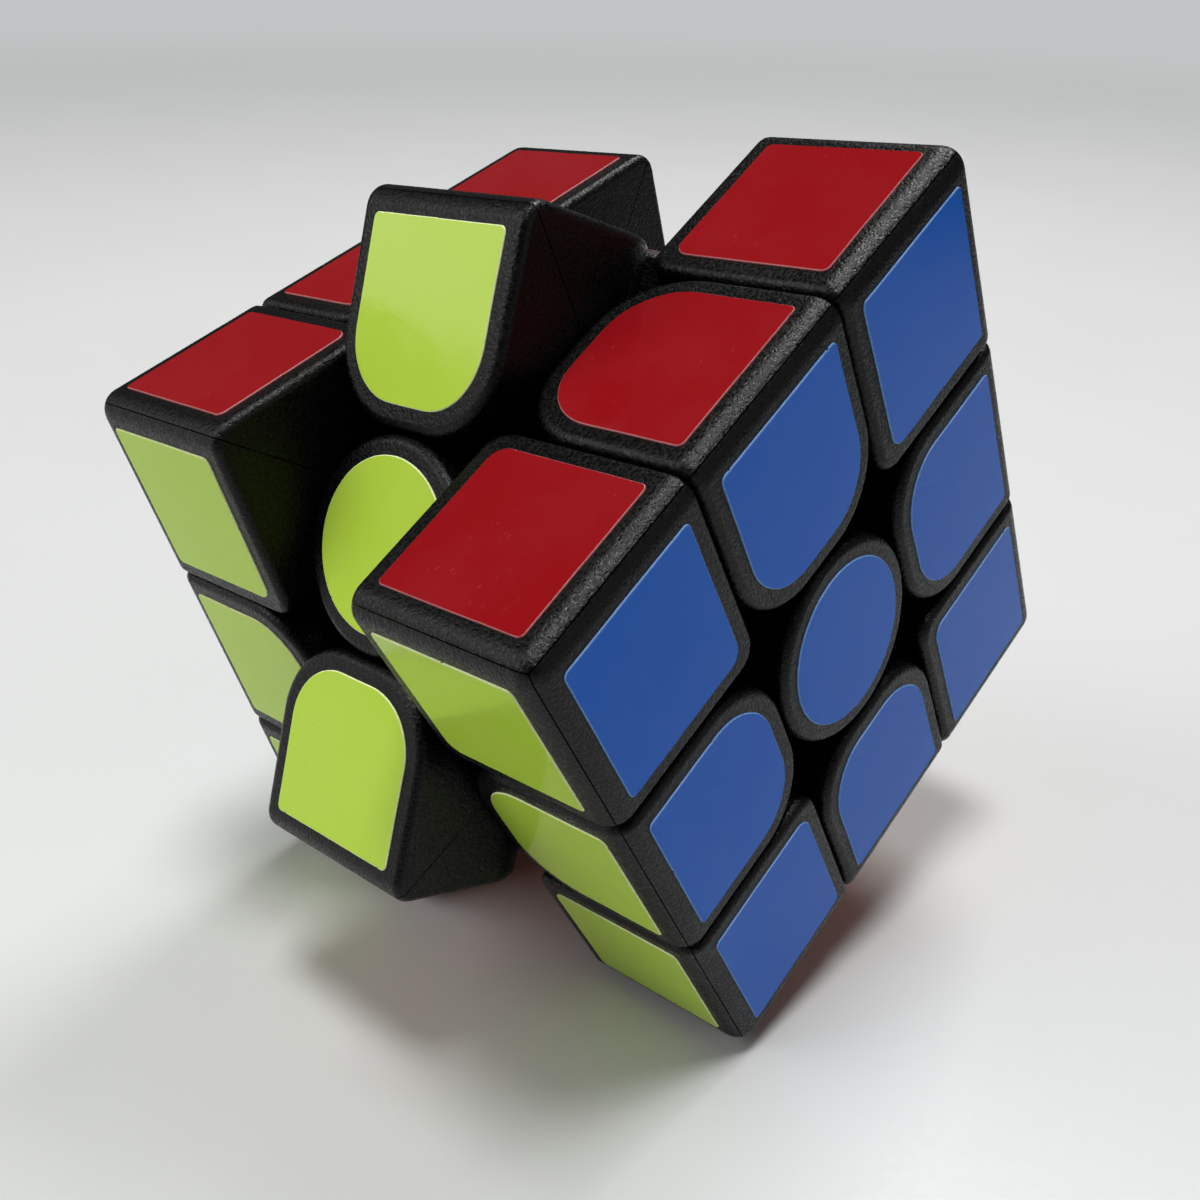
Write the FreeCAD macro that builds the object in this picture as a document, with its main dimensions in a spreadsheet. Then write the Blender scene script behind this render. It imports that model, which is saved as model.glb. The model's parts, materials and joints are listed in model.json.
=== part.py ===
import FreeCAD, Part
import os

import Sketcher
from FreeCAD import Placement, Rotation, Vector

# A twisty puzzle cube of three layers, lying on a table with its layers part-turned.
#
# The cubies are designed where they sit in a solved cube whose centre is the origin:
# +X blue, -X green, +Y white, -Y lime, +Z red, -Z orange. Three masters (corner, edge,
# centre) and three sticker masters are placed round the cube by links. Each node is a
# compound of such links, and its Placement turns it with its layer and stands the cube
# on the three rounded corners that it rests on. All lengths are in millimetres.
#
# Every face between two pieces is a flat slice plane, a sphere round the centre or a
# surface turned about a screw, so a layer turns freely about the slice axis:
#   outside the ball  the cubies part at the slice planes, a sixth of the side out
#   inside the ball   their feet part `undercut` nearer the centre, so a corner's foot
#                     lies under its edges, and an edge's foot under its centres
#   below the feet    the flanges of the six hubs carry them, on springs and screws

doc = FreeCAD.newDocument("puzzle_cube")
ORIGIN = Vector(0, 0, 0)
UPRIGHT = Rotation()
DIAGONAL = Vector(1, 1, 1)
TOLERANCE = 1e-4
SLOPE_TRIALS = 30

# ---------------------------------------------------------------- driving dimensions

DIMENSIONS = (
    ("side", 56.0, "edge of the whole cube, plastic to plastic"),
    ("slice_gap", 0.24, "play between neighbouring cubies"),
    ("wall", 1.5, "thickness of the cubies' shells"),
    ("seam", 0.10, "open joint between the shells of one cubie"),
    ("outer_round", 2.0, "radius along the cube's outer edges"),
    ("rim_round", 0.8, "radius round a cubie where it meets its neighbours"),
    ("corner_nose_round", 2.2, "radius of a corner's edges that face the centres"),
    ("edge_nose_round", 7.0, "radius of an edge's end beside the centre"),
    ("ball_radius", 20.0, "sphere between the cubies and their neighbours' feet"),
    ("ball_gap", 0.30, "play at that sphere"),
    ("foot_depth", 3.35, "radial thickness of a foot"),
    ("foot_gap", 0.20, "play between the feet and the hub flanges"),
    ("undercut", 2.5, "how far a foot reaches under its neighbour"),
    ("plug_height", 2.8, "how far a foot's plug stands into its shells"),
    ("cap_radius", 9.1, "outside of a centre's round cap"),
    ("cap_top", 1.4, "thickness of the cap's top"),
    ("hub_radius", 6.6, "column of a centre's hub"),
    ("hub_flange_radius", 10.2, "flange of the hub, under the feet"),
    ("hub_floor", 11.8, "underside of the hub, from the centre"),
    ("hub_top", 22.0, "top of the hub, which the cap stands on"),
    ("pocket_radius", 3.8, "spring pocket in the hub"),
    ("pocket_floor", 14.0, "floor of the spring pocket, from the centre"),
    ("shank_radius", 1.4, "screw shank"),
    ("shank_play", 0.25, "play round the shank in the hub"),
    ("shank_end", 5.0, "tip of the screw, from the centre"),
    ("head_radius", 3.1, "screw head"),
    ("head_height", 1.5, "screw head"),
    ("head_under", 18.6, "underside of the screw head, from the centre"),
    ("slot_width", 0.8, "driving slot in the screw head"),
    ("slot_depth", 0.7, "driving slot in the screw head"),
    ("washer_radius", 3.4, "washer under the spring"),
    ("washer_height", 0.5, "washer under the spring"),
    ("coil_radius", 2.5, "spring, mean radius of its coils"),
    ("wire_radius", 0.3, "spring wire"),
    ("coil_turns", 5.0, "turns of the spring"),
    ("core_radius", 8.0, "ball of the core"),
    ("arm_radius", 4.0, "arms of the core"),
    ("arm_end", 11.6, "end of each arm, from the centre"),
    ("sticker_height", 0.12, "thickness of the vinyl stickers"),
    ("sticker_outer_inset", 2.45, "sticker to the cube's outer edge"),
    ("sticker_inner_inset", 1.9, "sticker to the slice plane"),
    ("sticker_round", 0.5, "ordinary corners of a sticker"),
    ("sticker_corner_nose", 1.4, "corner of a corner sticker beside the centre"),
    ("sticker_edge_nose", 5.4, "ends of an edge sticker beside the centre"),
    ("sticker_disc_radius", 7.4, "round sticker of a centre"),
    ("middle_turn", -48.2, "middle layer against the right one, degrees"),
    ("left_turn", -12.0, "left layer against the right one, degrees"),
    ("overshoot", 1.0, "how far a cutting tool stands out of what it cuts"),
    ("wedge_tip", 2.0, "blunt tip of the wedge that parts a corner's shells"),
)

sheet = doc.addObject("Spreadsheet::Sheet", "Sizes")
for row, (alias, number, meaning) in enumerate(DIMENSIONS, start=1):
    sheet.set(f"A{row}", meaning)
    sheet.set(f"B{row}", str(number))
    sheet.setAlias(f"B{row}", alias)
doc.recompute()


class Size:
    """A length with both its formula, in terms of the sheet, and its value."""

    def __init__(self, formula, value):
        self.formula = formula
        self.value = value

    @staticmethod
    def of(length):
        return length if isinstance(length, Size) else Size(str(length), float(length))

    def __add__(self, other):
        other = Size.of(other)
        return Size(f"({self.formula} + {other.formula})", self.value + other.value)

    def __sub__(self, other):
        other = Size.of(other)
        return Size(f"({self.formula} - {other.formula})", self.value - other.value)

    def __mul__(self, factor):
        return Size(f"({self.formula} * {factor})", self.value * factor)

    def __truediv__(self, divisor):
        return Size(f"({self.formula} / {divisor})", self.value / divisor)

    def __neg__(self):
        return Size(f"(-{self.formula})", -self.value)


SIZE = {alias: Size(f"Sizes.{alias}", number) for alias, number, meaning in DIMENSIONS}
ZERO = Size.of(0)
OVERSHOOT = SIZE["overshoot"]

FAR = SIZE["side"] / 2
SLICE = SIZE["side"] / 6
NEAR = SLICE + SIZE["slice_gap"] / 2
HALF_WIDTH = SLICE - SIZE["slice_gap"] / 2
FOOT_NEAR = NEAR - SIZE["undercut"]
FOOT_HALF_WIDTH = HALF_WIDTH - SIZE["undercut"]
BALL_OUTSIDE = SIZE["ball_radius"] + SIZE["ball_gap"] / 2
BALL_INSIDE = SIZE["ball_radius"] - SIZE["ball_gap"] / 2
FOOT_INSIDE = BALL_INSIDE - SIZE["foot_depth"]

# -------------------------------------------------------------------- building blocks


def bind(thing, sizes):
    """Binds properties of a document object to sizes of the sheet."""
    for name, size in sizes.items():
        thing.setExpression(name, Size.of(size).formula)


def box(name, lows, highs, turn=UPRIGHT):
    """A box from its lowest to its highest corner."""
    thing = doc.addObject("Part::Box", name)
    lengths = zip(("Length", "Width", "Height"), lows, highs)
    bind(thing, {side: Size.of(high) - low for side, low, high in lengths})
    thing.Placement = Placement(ORIGIN, turn)
    bind(thing, {f"Placement.Base.{axis}": low for axis, low in zip("xyz", lows)})
    return thing


def ball(name, radius):
    """A sphere round the cube's centre."""
    thing = doc.addObject("Part::Sphere", name)
    bind(thing, {"Radius": radius})
    return thing


def rod(name, radius, bottom, top):
    """A cylinder along the Z axis."""
    thing = doc.addObject("Part::Cylinder", name)
    bind(thing, {"Radius": radius, "Height": Size.of(top) - bottom})
    bind(thing, {"Placement.Base.z": bottom})
    return thing


def cut(name, base, tool):
    thing = doc.addObject("Part::Cut", name)
    thing.Base = base
    thing.Tool = tool
    return thing


def fuse(name, *shapes):
    thing = doc.addObject("Part::MultiFuse", name)
    thing.Shapes = shapes
    return thing


def common(name, *shapes):
    thing = doc.addObject("Part::MultiCommon", name)
    thing.Shapes = shapes
    return thing


def link(name, master, rotation=UPRIGHT):
    """Another copy of a master, turned about the cube's centre from where it stands."""
    thing = doc.addObject("App::Link", name)
    thing.LinkedObject = master
    thing.LinkTransform = True
    thing.LinkPlacement = Placement(ORIGIN, rotation)
    return thing


def compound(name, members):
    thing = doc.addObject("Part::Compound", name)
    thing.Links = members
    return thing


def shell_between(name, inner, outer):
    """The space between two spheres round the centre."""
    return cut(name, ball(f"{name}_outer", outer), ball(f"{name}_inner", inner))


# --------------------------------------------------------------- sketches and bodies


def plane_of(body, role):
    return next(plane for plane in body.Origin.OriginFeatures if plane.Role == role)


def sketch_in(body, name, role="XY_Plane", height=ZERO):
    """An empty sketch on one of the body's origin planes, raised by `height`."""
    sketch = body.newObject("Sketcher::SketchObject", name)
    sketch.AttachmentSupport = [(plane_of(body, role), "")]
    sketch.MapMode = "FlatFace"
    bind(sketch, {"AttachmentOffset.Base.z": height})
    return sketch


def draw_rectangle(sketch, left, right, bottom, top, rounds):
    """Draws a constrained rectangle.

    `rounds` are the radii of its corners, from bottom left anticlockwise. A corner
    whose radius is None stays sharp.
    """
    corners = ((left, bottom), (right, bottom), (right, top), (left, top))
    points = [Vector(x.value, y.value, 0) for x, y in corners]
    ways = (Vector(1, 0, 0), Vector(0, 1, 0), Vector(-1, 0, 0), Vector(0, -1, 0))
    cuts = [radius.value if radius else 0.0 for radius in rounds]
    lines = []
    for index, way in enumerate(ways):
        after = (index + 1) % 4
        start = points[index] + way * cuts[index]
        end = points[after] - way * cuts[after]
        line = sketch.addGeometry(Part.LineSegment(start, end))
        kind = "Horizontal" if index % 2 == 0 else "Vertical"
        sketch.addConstraint(Sketcher.Constraint(kind, line))
        lines.append(line)
    for index, radius in enumerate(rounds):
        before, after = lines[index - 1], lines[index]
        if radius is None:
            sketch.addConstraint(Sketcher.Constraint("Coincident", before, 2, after, 1))
            continue
        start = points[index] - ways[index - 1] * cuts[index]
        end = points[index] + ways[index] * cuts[index]
        middle = start + ways[index] * cuts[index]
        deep = middle + (points[index] - middle) * (2 ** -0.5)
        arc = sketch.addGeometry(Part.Arc(start, deep, end))
        sketch.addConstraint(Sketcher.Constraint("Tangent", before, 2, arc, 1))
        sketch.addConstraint(Sketcher.Constraint("Tangent", arc, 2, after, 1))
        name_radius(sketch, arc, radius)
    for line, kind, place in zip(lines, "YXYX", (bottom, right, top, left)):
        place_line(sketch, line, kind, place)


def name_radius(sketch, curve, radius):
    """Gives an arc or circle its radius."""
    constraint = sketch.addConstraint(Sketcher.Constraint("Radius", curve, radius.value))
    bind(sketch, {f"Constraints[{constraint}]": radius})


def place_line(sketch, line, kind, place):
    """Puts a horizontal or vertical line at its distance from the sketch's origin."""
    distance = Sketcher.Constraint(f"Distance{kind}", -1, 1, line, 1, place.value)
    constraint = sketch.addConstraint(distance)
    bind(sketch, {f"Constraints[{constraint}]": place})


def padded(body, sketch, height):
    """Pads a sketch along its normal."""
    pad = body.newObject("PartDesign::Pad", f"{sketch.Name}_pad")
    pad.Profile = sketch
    bind(pad, {"Length": height})
    doc.recompute()
    return pad


def rounded(body, base, name, radius, chosen):
    """Fillets the edges of `base` whose middle satisfies `chosen`."""
    names = []
    for number, edge in enumerate(base.Shape.Edges, start=1):
        middle = edge.valueAt((edge.FirstParameter + edge.LastParameter) / 2)
        if chosen(middle):
            names.append(f"Edge{number}")
    fillet = body.newObject("PartDesign::Fillet", name)
    fillet.Base = (base, names)
    bind(fillet, {"Radius": radius})
    doc.recompute()
    return fillet


def at(coordinate, place):
    """True where a coordinate lies on a plane."""
    return abs(coordinate - place.value) < TOLERANCE


# ------------------------------------------------------------------------ the corner


def corner_block():
    """The outside of a corner cubie, solid, in the +++ octant."""
    body = doc.addObject("PartDesign::Body", "corner_block")
    outline = sketch_in(body, "corner_outline", height=NEAR)
    draw_rectangle(outline, NEAR, FAR, NEAR, FAR, (None, None, None, None))
    block = padded(body, outline, FAR - NEAR)

    def beside_centres(point):
        return sum(at(value, NEAR) for value in point) == 2

    def on_cube_edge(point):
        return sum(at(value, FAR) for value in point) == 2

    def beside_neighbour(point):
        near = sum(at(value, NEAR) for value in point)
        far = sum(at(value, FAR) for value in point)
        return near == 1 and far == 1

    nosed = rounded(body, block, "corner_noses", SIZE["corner_nose_round"], beside_centres)
    edged = rounded(body, nosed, "corner_edges", SIZE["outer_round"], on_cube_edge)
    rounded(body, edged, "corner_rim", SIZE["rim_round"], beside_neighbour)
    return body


def corner_shell():
    """One of a corner's three shells: the one that carries its +Z face.

    The shells part where two of the three coordinates are equal, so the joints run
    along the cube's edges and across the corner's inner faces.
    """
    wall = SIZE["wall"]
    hollow = box("corner_hollow", [NEAR + wall] * 3, [FAR - wall] * 3)
    inside = fuse("corner_inside", hollow, ball("corner_ball", BALL_INSIDE))
    shells = cut("corner_shells", corner_block(), inside)
    # A pyramid with its tip near the centre, its sides on x = z and y = z.
    third = doc.addObject("Part::Wedge", "corner_third")
    low = SIZE["wedge_tip"]
    high = FAR + wall
    joint = SIZE["seam"] / 2 * 2 ** 0.5
    bind(third, {"Xmin": 0, "Zmin": 0, "X2min": 0, "Z2min": 0})
    bind(third, {"Ymin": low, "Xmax": low - joint, "Zmax": low - joint})
    bind(third, {"Ymax": high, "X2max": high - joint, "Z2max": high - joint})
    # The wedge grows along its own Y, which the turn about the diagonal lays on Z.
    third.Placement = Placement(ORIGIN, Rotation(DIAGONAL, 120))
    return common("corner_shell", shells, third)


def corner_foot():
    """A corner's foot, under the neighbouring edges, with its plug into the shells."""
    wall = SIZE["wall"]
    reach = box("corner_foot_reach", [FOOT_NEAR] * 3, [SIZE["ball_radius"]] * 3)
    sole = common("corner_sole", reach, shell_between("corner_sole_shell", FOOT_INSIDE,
                                                      BALL_INSIDE))
    mouth = box("corner_mouth", [NEAR + wall] * 3, [FAR - wall] * 3)
    top = BALL_OUTSIDE + SIZE["plug_height"]
    plug = common("corner_plug", mouth, shell_between("corner_plug_shell",
                                                      BALL_INSIDE - wall, top))
    return fuse("corner_foot", sole, plug)


# -------------------------------------------------------------------------- the edge


def edge_solid(name, inset, rounds=True):
    """The edge cubie between +Y and +Z, all its faces moved in by `inset`.

    Seen along Y and along Z its outline is a U whose round end faces the centre.
    """
    body = doc.addObject("PartDesign::Body", name)
    side = HALF_WIDTH - inset
    near = NEAR + inset
    far = FAR - inset
    nose = SIZE["edge_nose_round"] - inset
    outline = sketch_in(body, f"{name}_outline")
    draw_rectangle(outline, -side, side, near, far, (nose, nose, None, None))
    block = padded(body, outline, far)
    # The same U along Y: what lies outside it is pocketed away.
    frame = sketch_in(body, f"{name}_frame", role="XZ_Plane")
    draw_rectangle(frame, -side, side, near, far, (nose, nose, None, None))
    draw_rectangle(frame, -side * 2, side * 2, -near, far * 2, (None, None, None, None))
    pocket = body.newObject("PartDesign::Pocket", f"{name}_sides")
    pocket.Profile = frame
    pocket.Type = "ThroughAll"
    pocket.Midplane = True
    doc.recompute()
    if rounds:
        edged = rounded(body, pocket, f"{name}_cube_edge", SIZE["outer_round"],
                        lambda point: at(point.y, far) and at(point.z, far))

        def beside_neighbour(point):
            inner = at(abs(point.x), side) or at(point.y, near) or at(point.z, near)
            return inner and (at(point.y, far) or at(point.z, far))

        rounded(body, edged, f"{name}_rim", SIZE["rim_round"], beside_neighbour)
    return body


def edge_half():
    """The half of an edge's casing that carries its +Z face, down to y = z."""
    hollow = edge_solid("edge_hollow", SIZE["wall"], rounds=False)
    inside = fuse("edge_inside", hollow, ball("edge_ball", BALL_OUTSIDE))
    shells = cut("edge_shells", edge_solid("edge_block", ZERO), inside)
    reach = SIZE["side"]
    above = box("edge_above", (-FAR, ZERO, SIZE["seam"] / 2), (FAR, reach, reach))
    above.Placement = Placement(ORIGIN, Rotation(Vector(1, 0, 0), 45))
    # Turned with the box, its low face stands half the seam off the plane y = z.
    bind(above, {"Placement.Base.y": -SIZE["seam"] / 2 * 2 ** -0.5})
    bind(above, {"Placement.Base.z": SIZE["seam"] / 2 * 2 ** -0.5})
    return common("edge_half", shells, above)


def edge_foot():
    """An edge's foot, under the two centres, with its neck and its plug."""
    wall = SIZE["wall"]
    width = FOOT_HALF_WIDTH
    far = SIZE["ball_radius"]
    reach = box("edge_foot_reach", (-width, FOOT_NEAR, FOOT_NEAR), (width, far, far))
    sole = common("edge_sole", reach, shell_between("edge_sole_shell", FOOT_INSIDE,
                                                    BALL_INSIDE))
    neck_box = box("edge_neck_box", (-width, NEAR + wall, NEAR + wall), (width, far, far))
    neck = common("edge_neck", neck_box, shell_between("edge_neck_shell",
                                                       BALL_INSIDE - wall,
                                                       BALL_OUTSIDE + wall))
    plug = common("edge_plug", edge_solid("edge_mouth", wall, rounds=False),
                  shell_between("edge_plug_shell", BALL_OUTSIDE,
                                BALL_OUTSIDE + SIZE["plug_height"]))
    return fuse("edge_foot", sole, neck, plug)


# --------------------------------------------- the centre, with its spring and screw


def centre_hub():
    """A hub on its screw: a column with a spring pocket, and a flange below the feet."""
    floor = SIZE["hub_floor"]
    column = rod("hub_column", SIZE["hub_radius"], floor, SIZE["hub_top"])
    disc = rod("hub_disc", SIZE["hub_flange_radius"], floor, FOOT_INSIDE)
    flange = common("hub_flange", disc, ball("hub_dome", FOOT_INSIDE - SIZE["foot_gap"]))
    pocket = rod("hub_pocket", SIZE["pocket_radius"], SIZE["pocket_floor"],
                 SIZE["hub_top"] + OVERSHOOT)
    hole = rod("hub_hole", SIZE["shank_radius"] + SIZE["shank_play"], floor - OVERSHOOT,
               SIZE["pocket_floor"] + OVERSHOOT)
    return cut("centre_hub", fuse("hub_solid", column, flange),
               fuse("hub_bores", pocket, hole))


def centre_cap():
    """The round cap of a centre, a cup that stands on its hub."""
    wall = SIZE["wall"]
    body = doc.addObject("PartDesign::Body", "cap_body")
    outline = sketch_in(body, "cap_outline")
    name_radius(outline, outline.addGeometry(Part.Circle(ORIGIN, Vector(0, 0, 1),
                                                         SIZE["cap_radius"].value)),
                SIZE["cap_radius"])
    outline.addConstraint(Sketcher.Constraint("Coincident", 0, 3, -1, 1))
    drum = padded(body, outline, FAR)
    rounded(body, drum, "cap_rim", SIZE["rim_round"], lambda point: at(point.z, FAR))
    inside = rod("cap_inside", SIZE["cap_radius"] - wall, ZERO, FAR - SIZE["cap_top"])
    cup = cut("cap_cup", body, fuse("cap_space", inside, ball("cap_ball", BALL_OUTSIDE)))
    ring = cut("cap_ring",
               rod("cap_ring_outside", SIZE["hub_radius"], SIZE["hub_top"],
                   FAR - SIZE["cap_top"] / 2),
               rod("cap_ring_inside", SIZE["pocket_radius"], ZERO, FAR))
    return fuse("centre_cap", cup, ring)


def screw():
    """A pan-head screw with a driving slot."""
    shank = rod("screw_shank", SIZE["shank_radius"], SIZE["shank_end"], SIZE["head_under"])
    top = SIZE["head_under"] + SIZE["head_height"]
    head = rod("screw_head", SIZE["head_radius"], SIZE["head_under"], top)
    half = SIZE["slot_width"] / 2
    reach = SIZE["head_radius"] + OVERSHOOT
    slot = box("screw_slot", (-reach, -half, top - SIZE["slot_depth"]),
               (reach, half, top + OVERSHOOT))
    return cut("screw", fuse("screw_solid", shank, head), slot)


def washer():
    """The washer on the pocket's floor, which the spring presses on."""
    floor = SIZE["pocket_floor"]
    top = floor + SIZE["washer_height"]
    return cut("washer", rod("washer_disc", SIZE["washer_radius"], floor, top),
               rod("washer_hole", SIZE["shank_radius"] + SIZE["shank_play"], ZERO, FAR))


def spring():
    """The coil spring between the washer and the screw's head."""
    wire = SIZE["wire_radius"]
    bottom = SIZE["pocket_floor"] + SIZE["washer_height"] + wire
    height = SIZE["head_under"] - wire - bottom
    helix = doc.addObject("Part::Helix", "spring_helix")
    bind(helix, {"Radius": SIZE["coil_radius"], "Height": height,
                 "Pitch": Size(f"{height.formula} / Sizes.coil_turns", height.value),
                 "Placement.Base.z": bottom})
    section = doc.addObject("Part::Circle", "spring_section")
    section.Placement = Placement(ORIGIN, Rotation(Vector(1, 0, 0), 90))
    bind(section, {"Radius": wire, "Placement.Base.x": SIZE["coil_radius"],
                   "Placement.Base.z": bottom})
    doc.recompute()
    coil = doc.addObject("Part::Sweep", "spring")
    coil.Sections = [section]
    coil.Spine = (helix, [f"Edge{number + 1}" for number in range(len(helix.Shape.Edges))])
    coil.Solid = True
    coil.Frenet = True
    return coil


# --------------------------------------------------------------------- the stickers


def sticker(name, left, right, rounds):
    """A sticker on the +Z face, `left` to `right` along X."""
    body = doc.addObject("PartDesign::Body", name)
    outline = sketch_in(body, f"{name}_outline", height=FAR)
    bottom = SLICE + SIZE["sticker_inner_inset"]
    top = FAR - SIZE["sticker_outer_inset"]
    draw_rectangle(outline, left, right, bottom, top, rounds)
    padded(body, outline, SIZE["sticker_height"])
    return body


def corner_sticker():
    small = SIZE["sticker_round"]
    return sticker("corner_sticker", SLICE + SIZE["sticker_inner_inset"],
                   FAR - SIZE["sticker_outer_inset"],
                   (SIZE["sticker_corner_nose"], small, small, small))


def edge_sticker():
    half = SLICE - SIZE["sticker_inner_inset"]
    small = SIZE["sticker_round"]
    nose = SIZE["sticker_edge_nose"]
    return sticker("edge_sticker", -half, half, (nose, nose, small, small))


def centre_sticker():
    return rod("centre_sticker", SIZE["sticker_disc_radius"], FAR,
               FAR + SIZE["sticker_height"])


# ------------------------------------------------------------- where everything goes

FACES = {
    "blue": Vector(1, 0, 0),
    "green": Vector(-1, 0, 0),
    "white": Vector(0, 1, 0),
    "lime": Vector(0, -1, 0),
    "red": Vector(0, 0, 1),
    "orange": Vector(0, 0, -1),
}
LAYERS = {1: "right", 0: "middle", -1: "left"}
TURNS = {"right": 0.0, "middle": SIZE["middle_turn"].value, "left": SIZE["left_turn"].value}
SLICE_AXIS = Vector(1, 0, 0)


def colour_towards(direction):
    """The colour of the face that a direction points at."""
    return max(FACES, key=lambda colour: FACES[colour].dot(direction))


def cubies(count):
    """Places of the cubies with `count` stickers, as signs along X, Y and Z."""
    signs = (-1, 0, 1)
    places = [(x, y, z) for x in signs for y in signs for z in signs]
    return [Vector(*place) for place in places if sum(map(abs, place)) == count]


def turns_to(place, home):
    """The rotation of the cube that carries the master's place `home` to `place`."""
    for flip in (Rotation(), Rotation(Vector(1, 0, 0), 180), Rotation(Vector(1, 0, 0), 90),
                 Rotation(Vector(1, 0, 0), -90), Rotation(Vector(0, 1, 0), 90),
                 Rotation(Vector(0, 1, 0), -90)):
        for quarter in range(4):
            rotation = Rotation(Vector(0, 0, 1), 90 * quarter) * flip
            if rotation.multVec(home).isEqual(place, TOLERANCE):
                return rotation
    raise ValueError(f"no turn of the cube reaches {place}")


def layer_turn(layer):
    return Rotation(SLICE_AXIS, TURNS[layer])


def lowest_point(layer, end, end_round, quarter, down):
    """The point furthest along `down` on the rounded -X end of a layer's long edge.

    `end` is the place of that end, `end_round` the radius round it, and `quarter`
    counts quarter turns of the layer from its lime and orange edge.
    """
    across = layer_turn(layer) * Rotation(SLICE_AXIS, 90 * quarter)
    radius = SIZE["outer_round"].value
    inset = radius - FAR.value
    middle = across.multVec(Vector(0, inset, inset))
    middle.x = end.value + end_round.value
    outward = Vector(0, down.y, down.z).normalize()
    return middle + outward * (radius - end_round.value) + down * end_round.value


def resting_turn():
    """The rotation that stands the part-turned cube on a level table.

    The table touches one rounded corner of each layer, and which point of it depends
    on the table's slope, so the slope is found again from each trio of points.
    """
    rim = SIZE["rim_round"]
    down = Vector(0, -1, -2).normalize()
    for _ in range(SLOPE_TRIALS):
        right = lowest_point("right", NEAR, rim, 0, down)
        middle = lowest_point("middle", -HALF_WIDTH, rim, 1, down)
        left = lowest_point("left", -FAR, SIZE["outer_round"], 0, down)
        down = (right - middle).cross(left - middle).normalize()
        if down.z > 0:
            down = down * -1
    up = down * -1
    along = (SLICE_AXIS - up * SLICE_AXIS.dot(up)).normalize()
    return Rotation(along, up.cross(along), up, "ZXY").inverted()


# ------------------------------------------------------------------------- the nodes

CORNER = {"shell": corner_shell(), "foot": corner_foot(), "sticker": corner_sticker()}
EDGE = {"half": edge_half(), "foot": edge_foot(), "sticker": edge_sticker()}
CENTRE = {"hub": centre_hub(), "cap": centre_cap(), "sticker": centre_sticker()}
FIXINGS = {"screws": screw(), "washers": washer(), "springs": spring()}
STAND = resting_turn()
THIRD_TURNS = [Rotation(DIAGONAL, 120 * third) for third in range(3)]
HALF_TURNS = [UPRIGHT, Rotation(Vector(0, 1, 1), 180)]
nodes = []
stickers = {}


def add_node(name, members, layer="middle"):
    """Groups links into a node and turns it with its layer and the standing cube."""
    node = compound(name, members)
    node.Placement = Placement(ORIGIN, STAND * layer_turn(layer))
    nodes.append(node)


def cubie_name(kind, place):
    """A cubie's name from the colours it shows, such as corner_red_white_blue."""
    shown = [colour for colour in FACES if FACES[colour].dot(place) > 0]
    return "_".join([kind] + shown)


def add_sticker(master, rotation, group):
    """Puts a sticker with the others of its colour and group."""
    colour = colour_towards(rotation.multVec(Vector(0, 0, 1)))
    name = f"{group}_{colour}_stickers"
    members = stickers.setdefault(name, [])
    members.append(link(f"{name}_{len(members) + 1}", master, rotation))


def add_cubies(kind, home, repeated, foot, master_sticker, turns):
    """Adds every corner or every edge: its repeated shells, its foot and stickers."""
    count = int(home.dot(home))
    for place in cubies(count):
        seat = turns_to(place, home)
        layer = LAYERS[int(place.x)]
        name = cubie_name(kind, place)
        members = [link(f"{name}_shell_{index + 1}", repeated, seat * turn)
                   for index, turn in enumerate(turns)]
        members.append(link(f"{name}_foot", foot, seat))
        add_node(name, members, layer)
        for turn in turns:
            add_sticker(master_sticker, seat * turn, layer)


def add_centres():
    """Adds the six hubs with their caps, stickers, screws, washers and springs."""
    fixings = {name: [] for name in FIXINGS}
    for colour, direction in FACES.items():
        seat = turns_to(direction, Vector(0, 0, 1))
        layer = LAYERS[int(direction.x)]
        for part in ("hub", "cap"):
            name = f"centre_{part}_{colour}"
            add_node(name, [link(f"{name}_link", CENTRE[part], seat)], layer)
        add_sticker(CENTRE["sticker"], seat, "centre" if layer == "middle" else layer)
        for name, members in fixings.items():
            members.append(link(f"{name}_{colour}", FIXINGS[name], seat))
    for name, members in fixings.items():
        add_node(name, members)


def add_core():
    """Adds the core: a ball with six arms, bored for the screws."""
    arm = fuse("core_arm", rod("core_arm_rod", SIZE["arm_radius"], ZERO, SIZE["arm_end"]),
               ball("core_ball", SIZE["core_radius"]))
    bore = rod("core_bore", SIZE["shank_radius"], SIZE["shank_end"], SIZE["hub_floor"])
    seats = {colour: turns_to(FACES[colour], Vector(0, 0, 1)) for colour in FACES}
    arms = fuse("core_arms", *[link(f"core_arm_{colour}", arm, seat)
                               for colour, seat in seats.items()])
    bores = fuse("core_bores", *[link(f"core_bore_{colour}", bore, seat)
                                 for colour, seat in seats.items()])
    add_node("core", [cut("core_solid", arms, bores)])


add_core()
add_centres()
add_cubies("edge", Vector(0, 1, 1), EDGE["half"], EDGE["foot"], EDGE["sticker"], HALF_TURNS)
add_cubies("corner", DIAGONAL, CORNER["shell"], CORNER["foot"], CORNER["sticker"],
           THIRD_TURNS)
for name, members in stickers.items():
    group = name.split("_")[0]
    add_node(name, members, group if group in TURNS else "middle")

# ----------------------------------------------------------------- checks and export

doc.recompute()
failed = [thing.Name for thing in doc.Objects
          if "Invalid" in thing.State or "Error" in thing.State]
if failed:
    raise RuntimeError(f"objects failed to recompute: {failed}")
for node in nodes:
    if node.Shape.isNull() or not node.Shape.isValid():
        raise RuntimeError(f"the shape of {node.Label} is not valid")

os.makedirs("parts", exist_ok=True)
for node in nodes:
    node.Shape.exportStep(f"parts/{node.Label}.step")
    print(f"{node.Label}: {len(node.Shape.Solids)} solids, {node.Shape.Volume:.1f} mm3")
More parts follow.
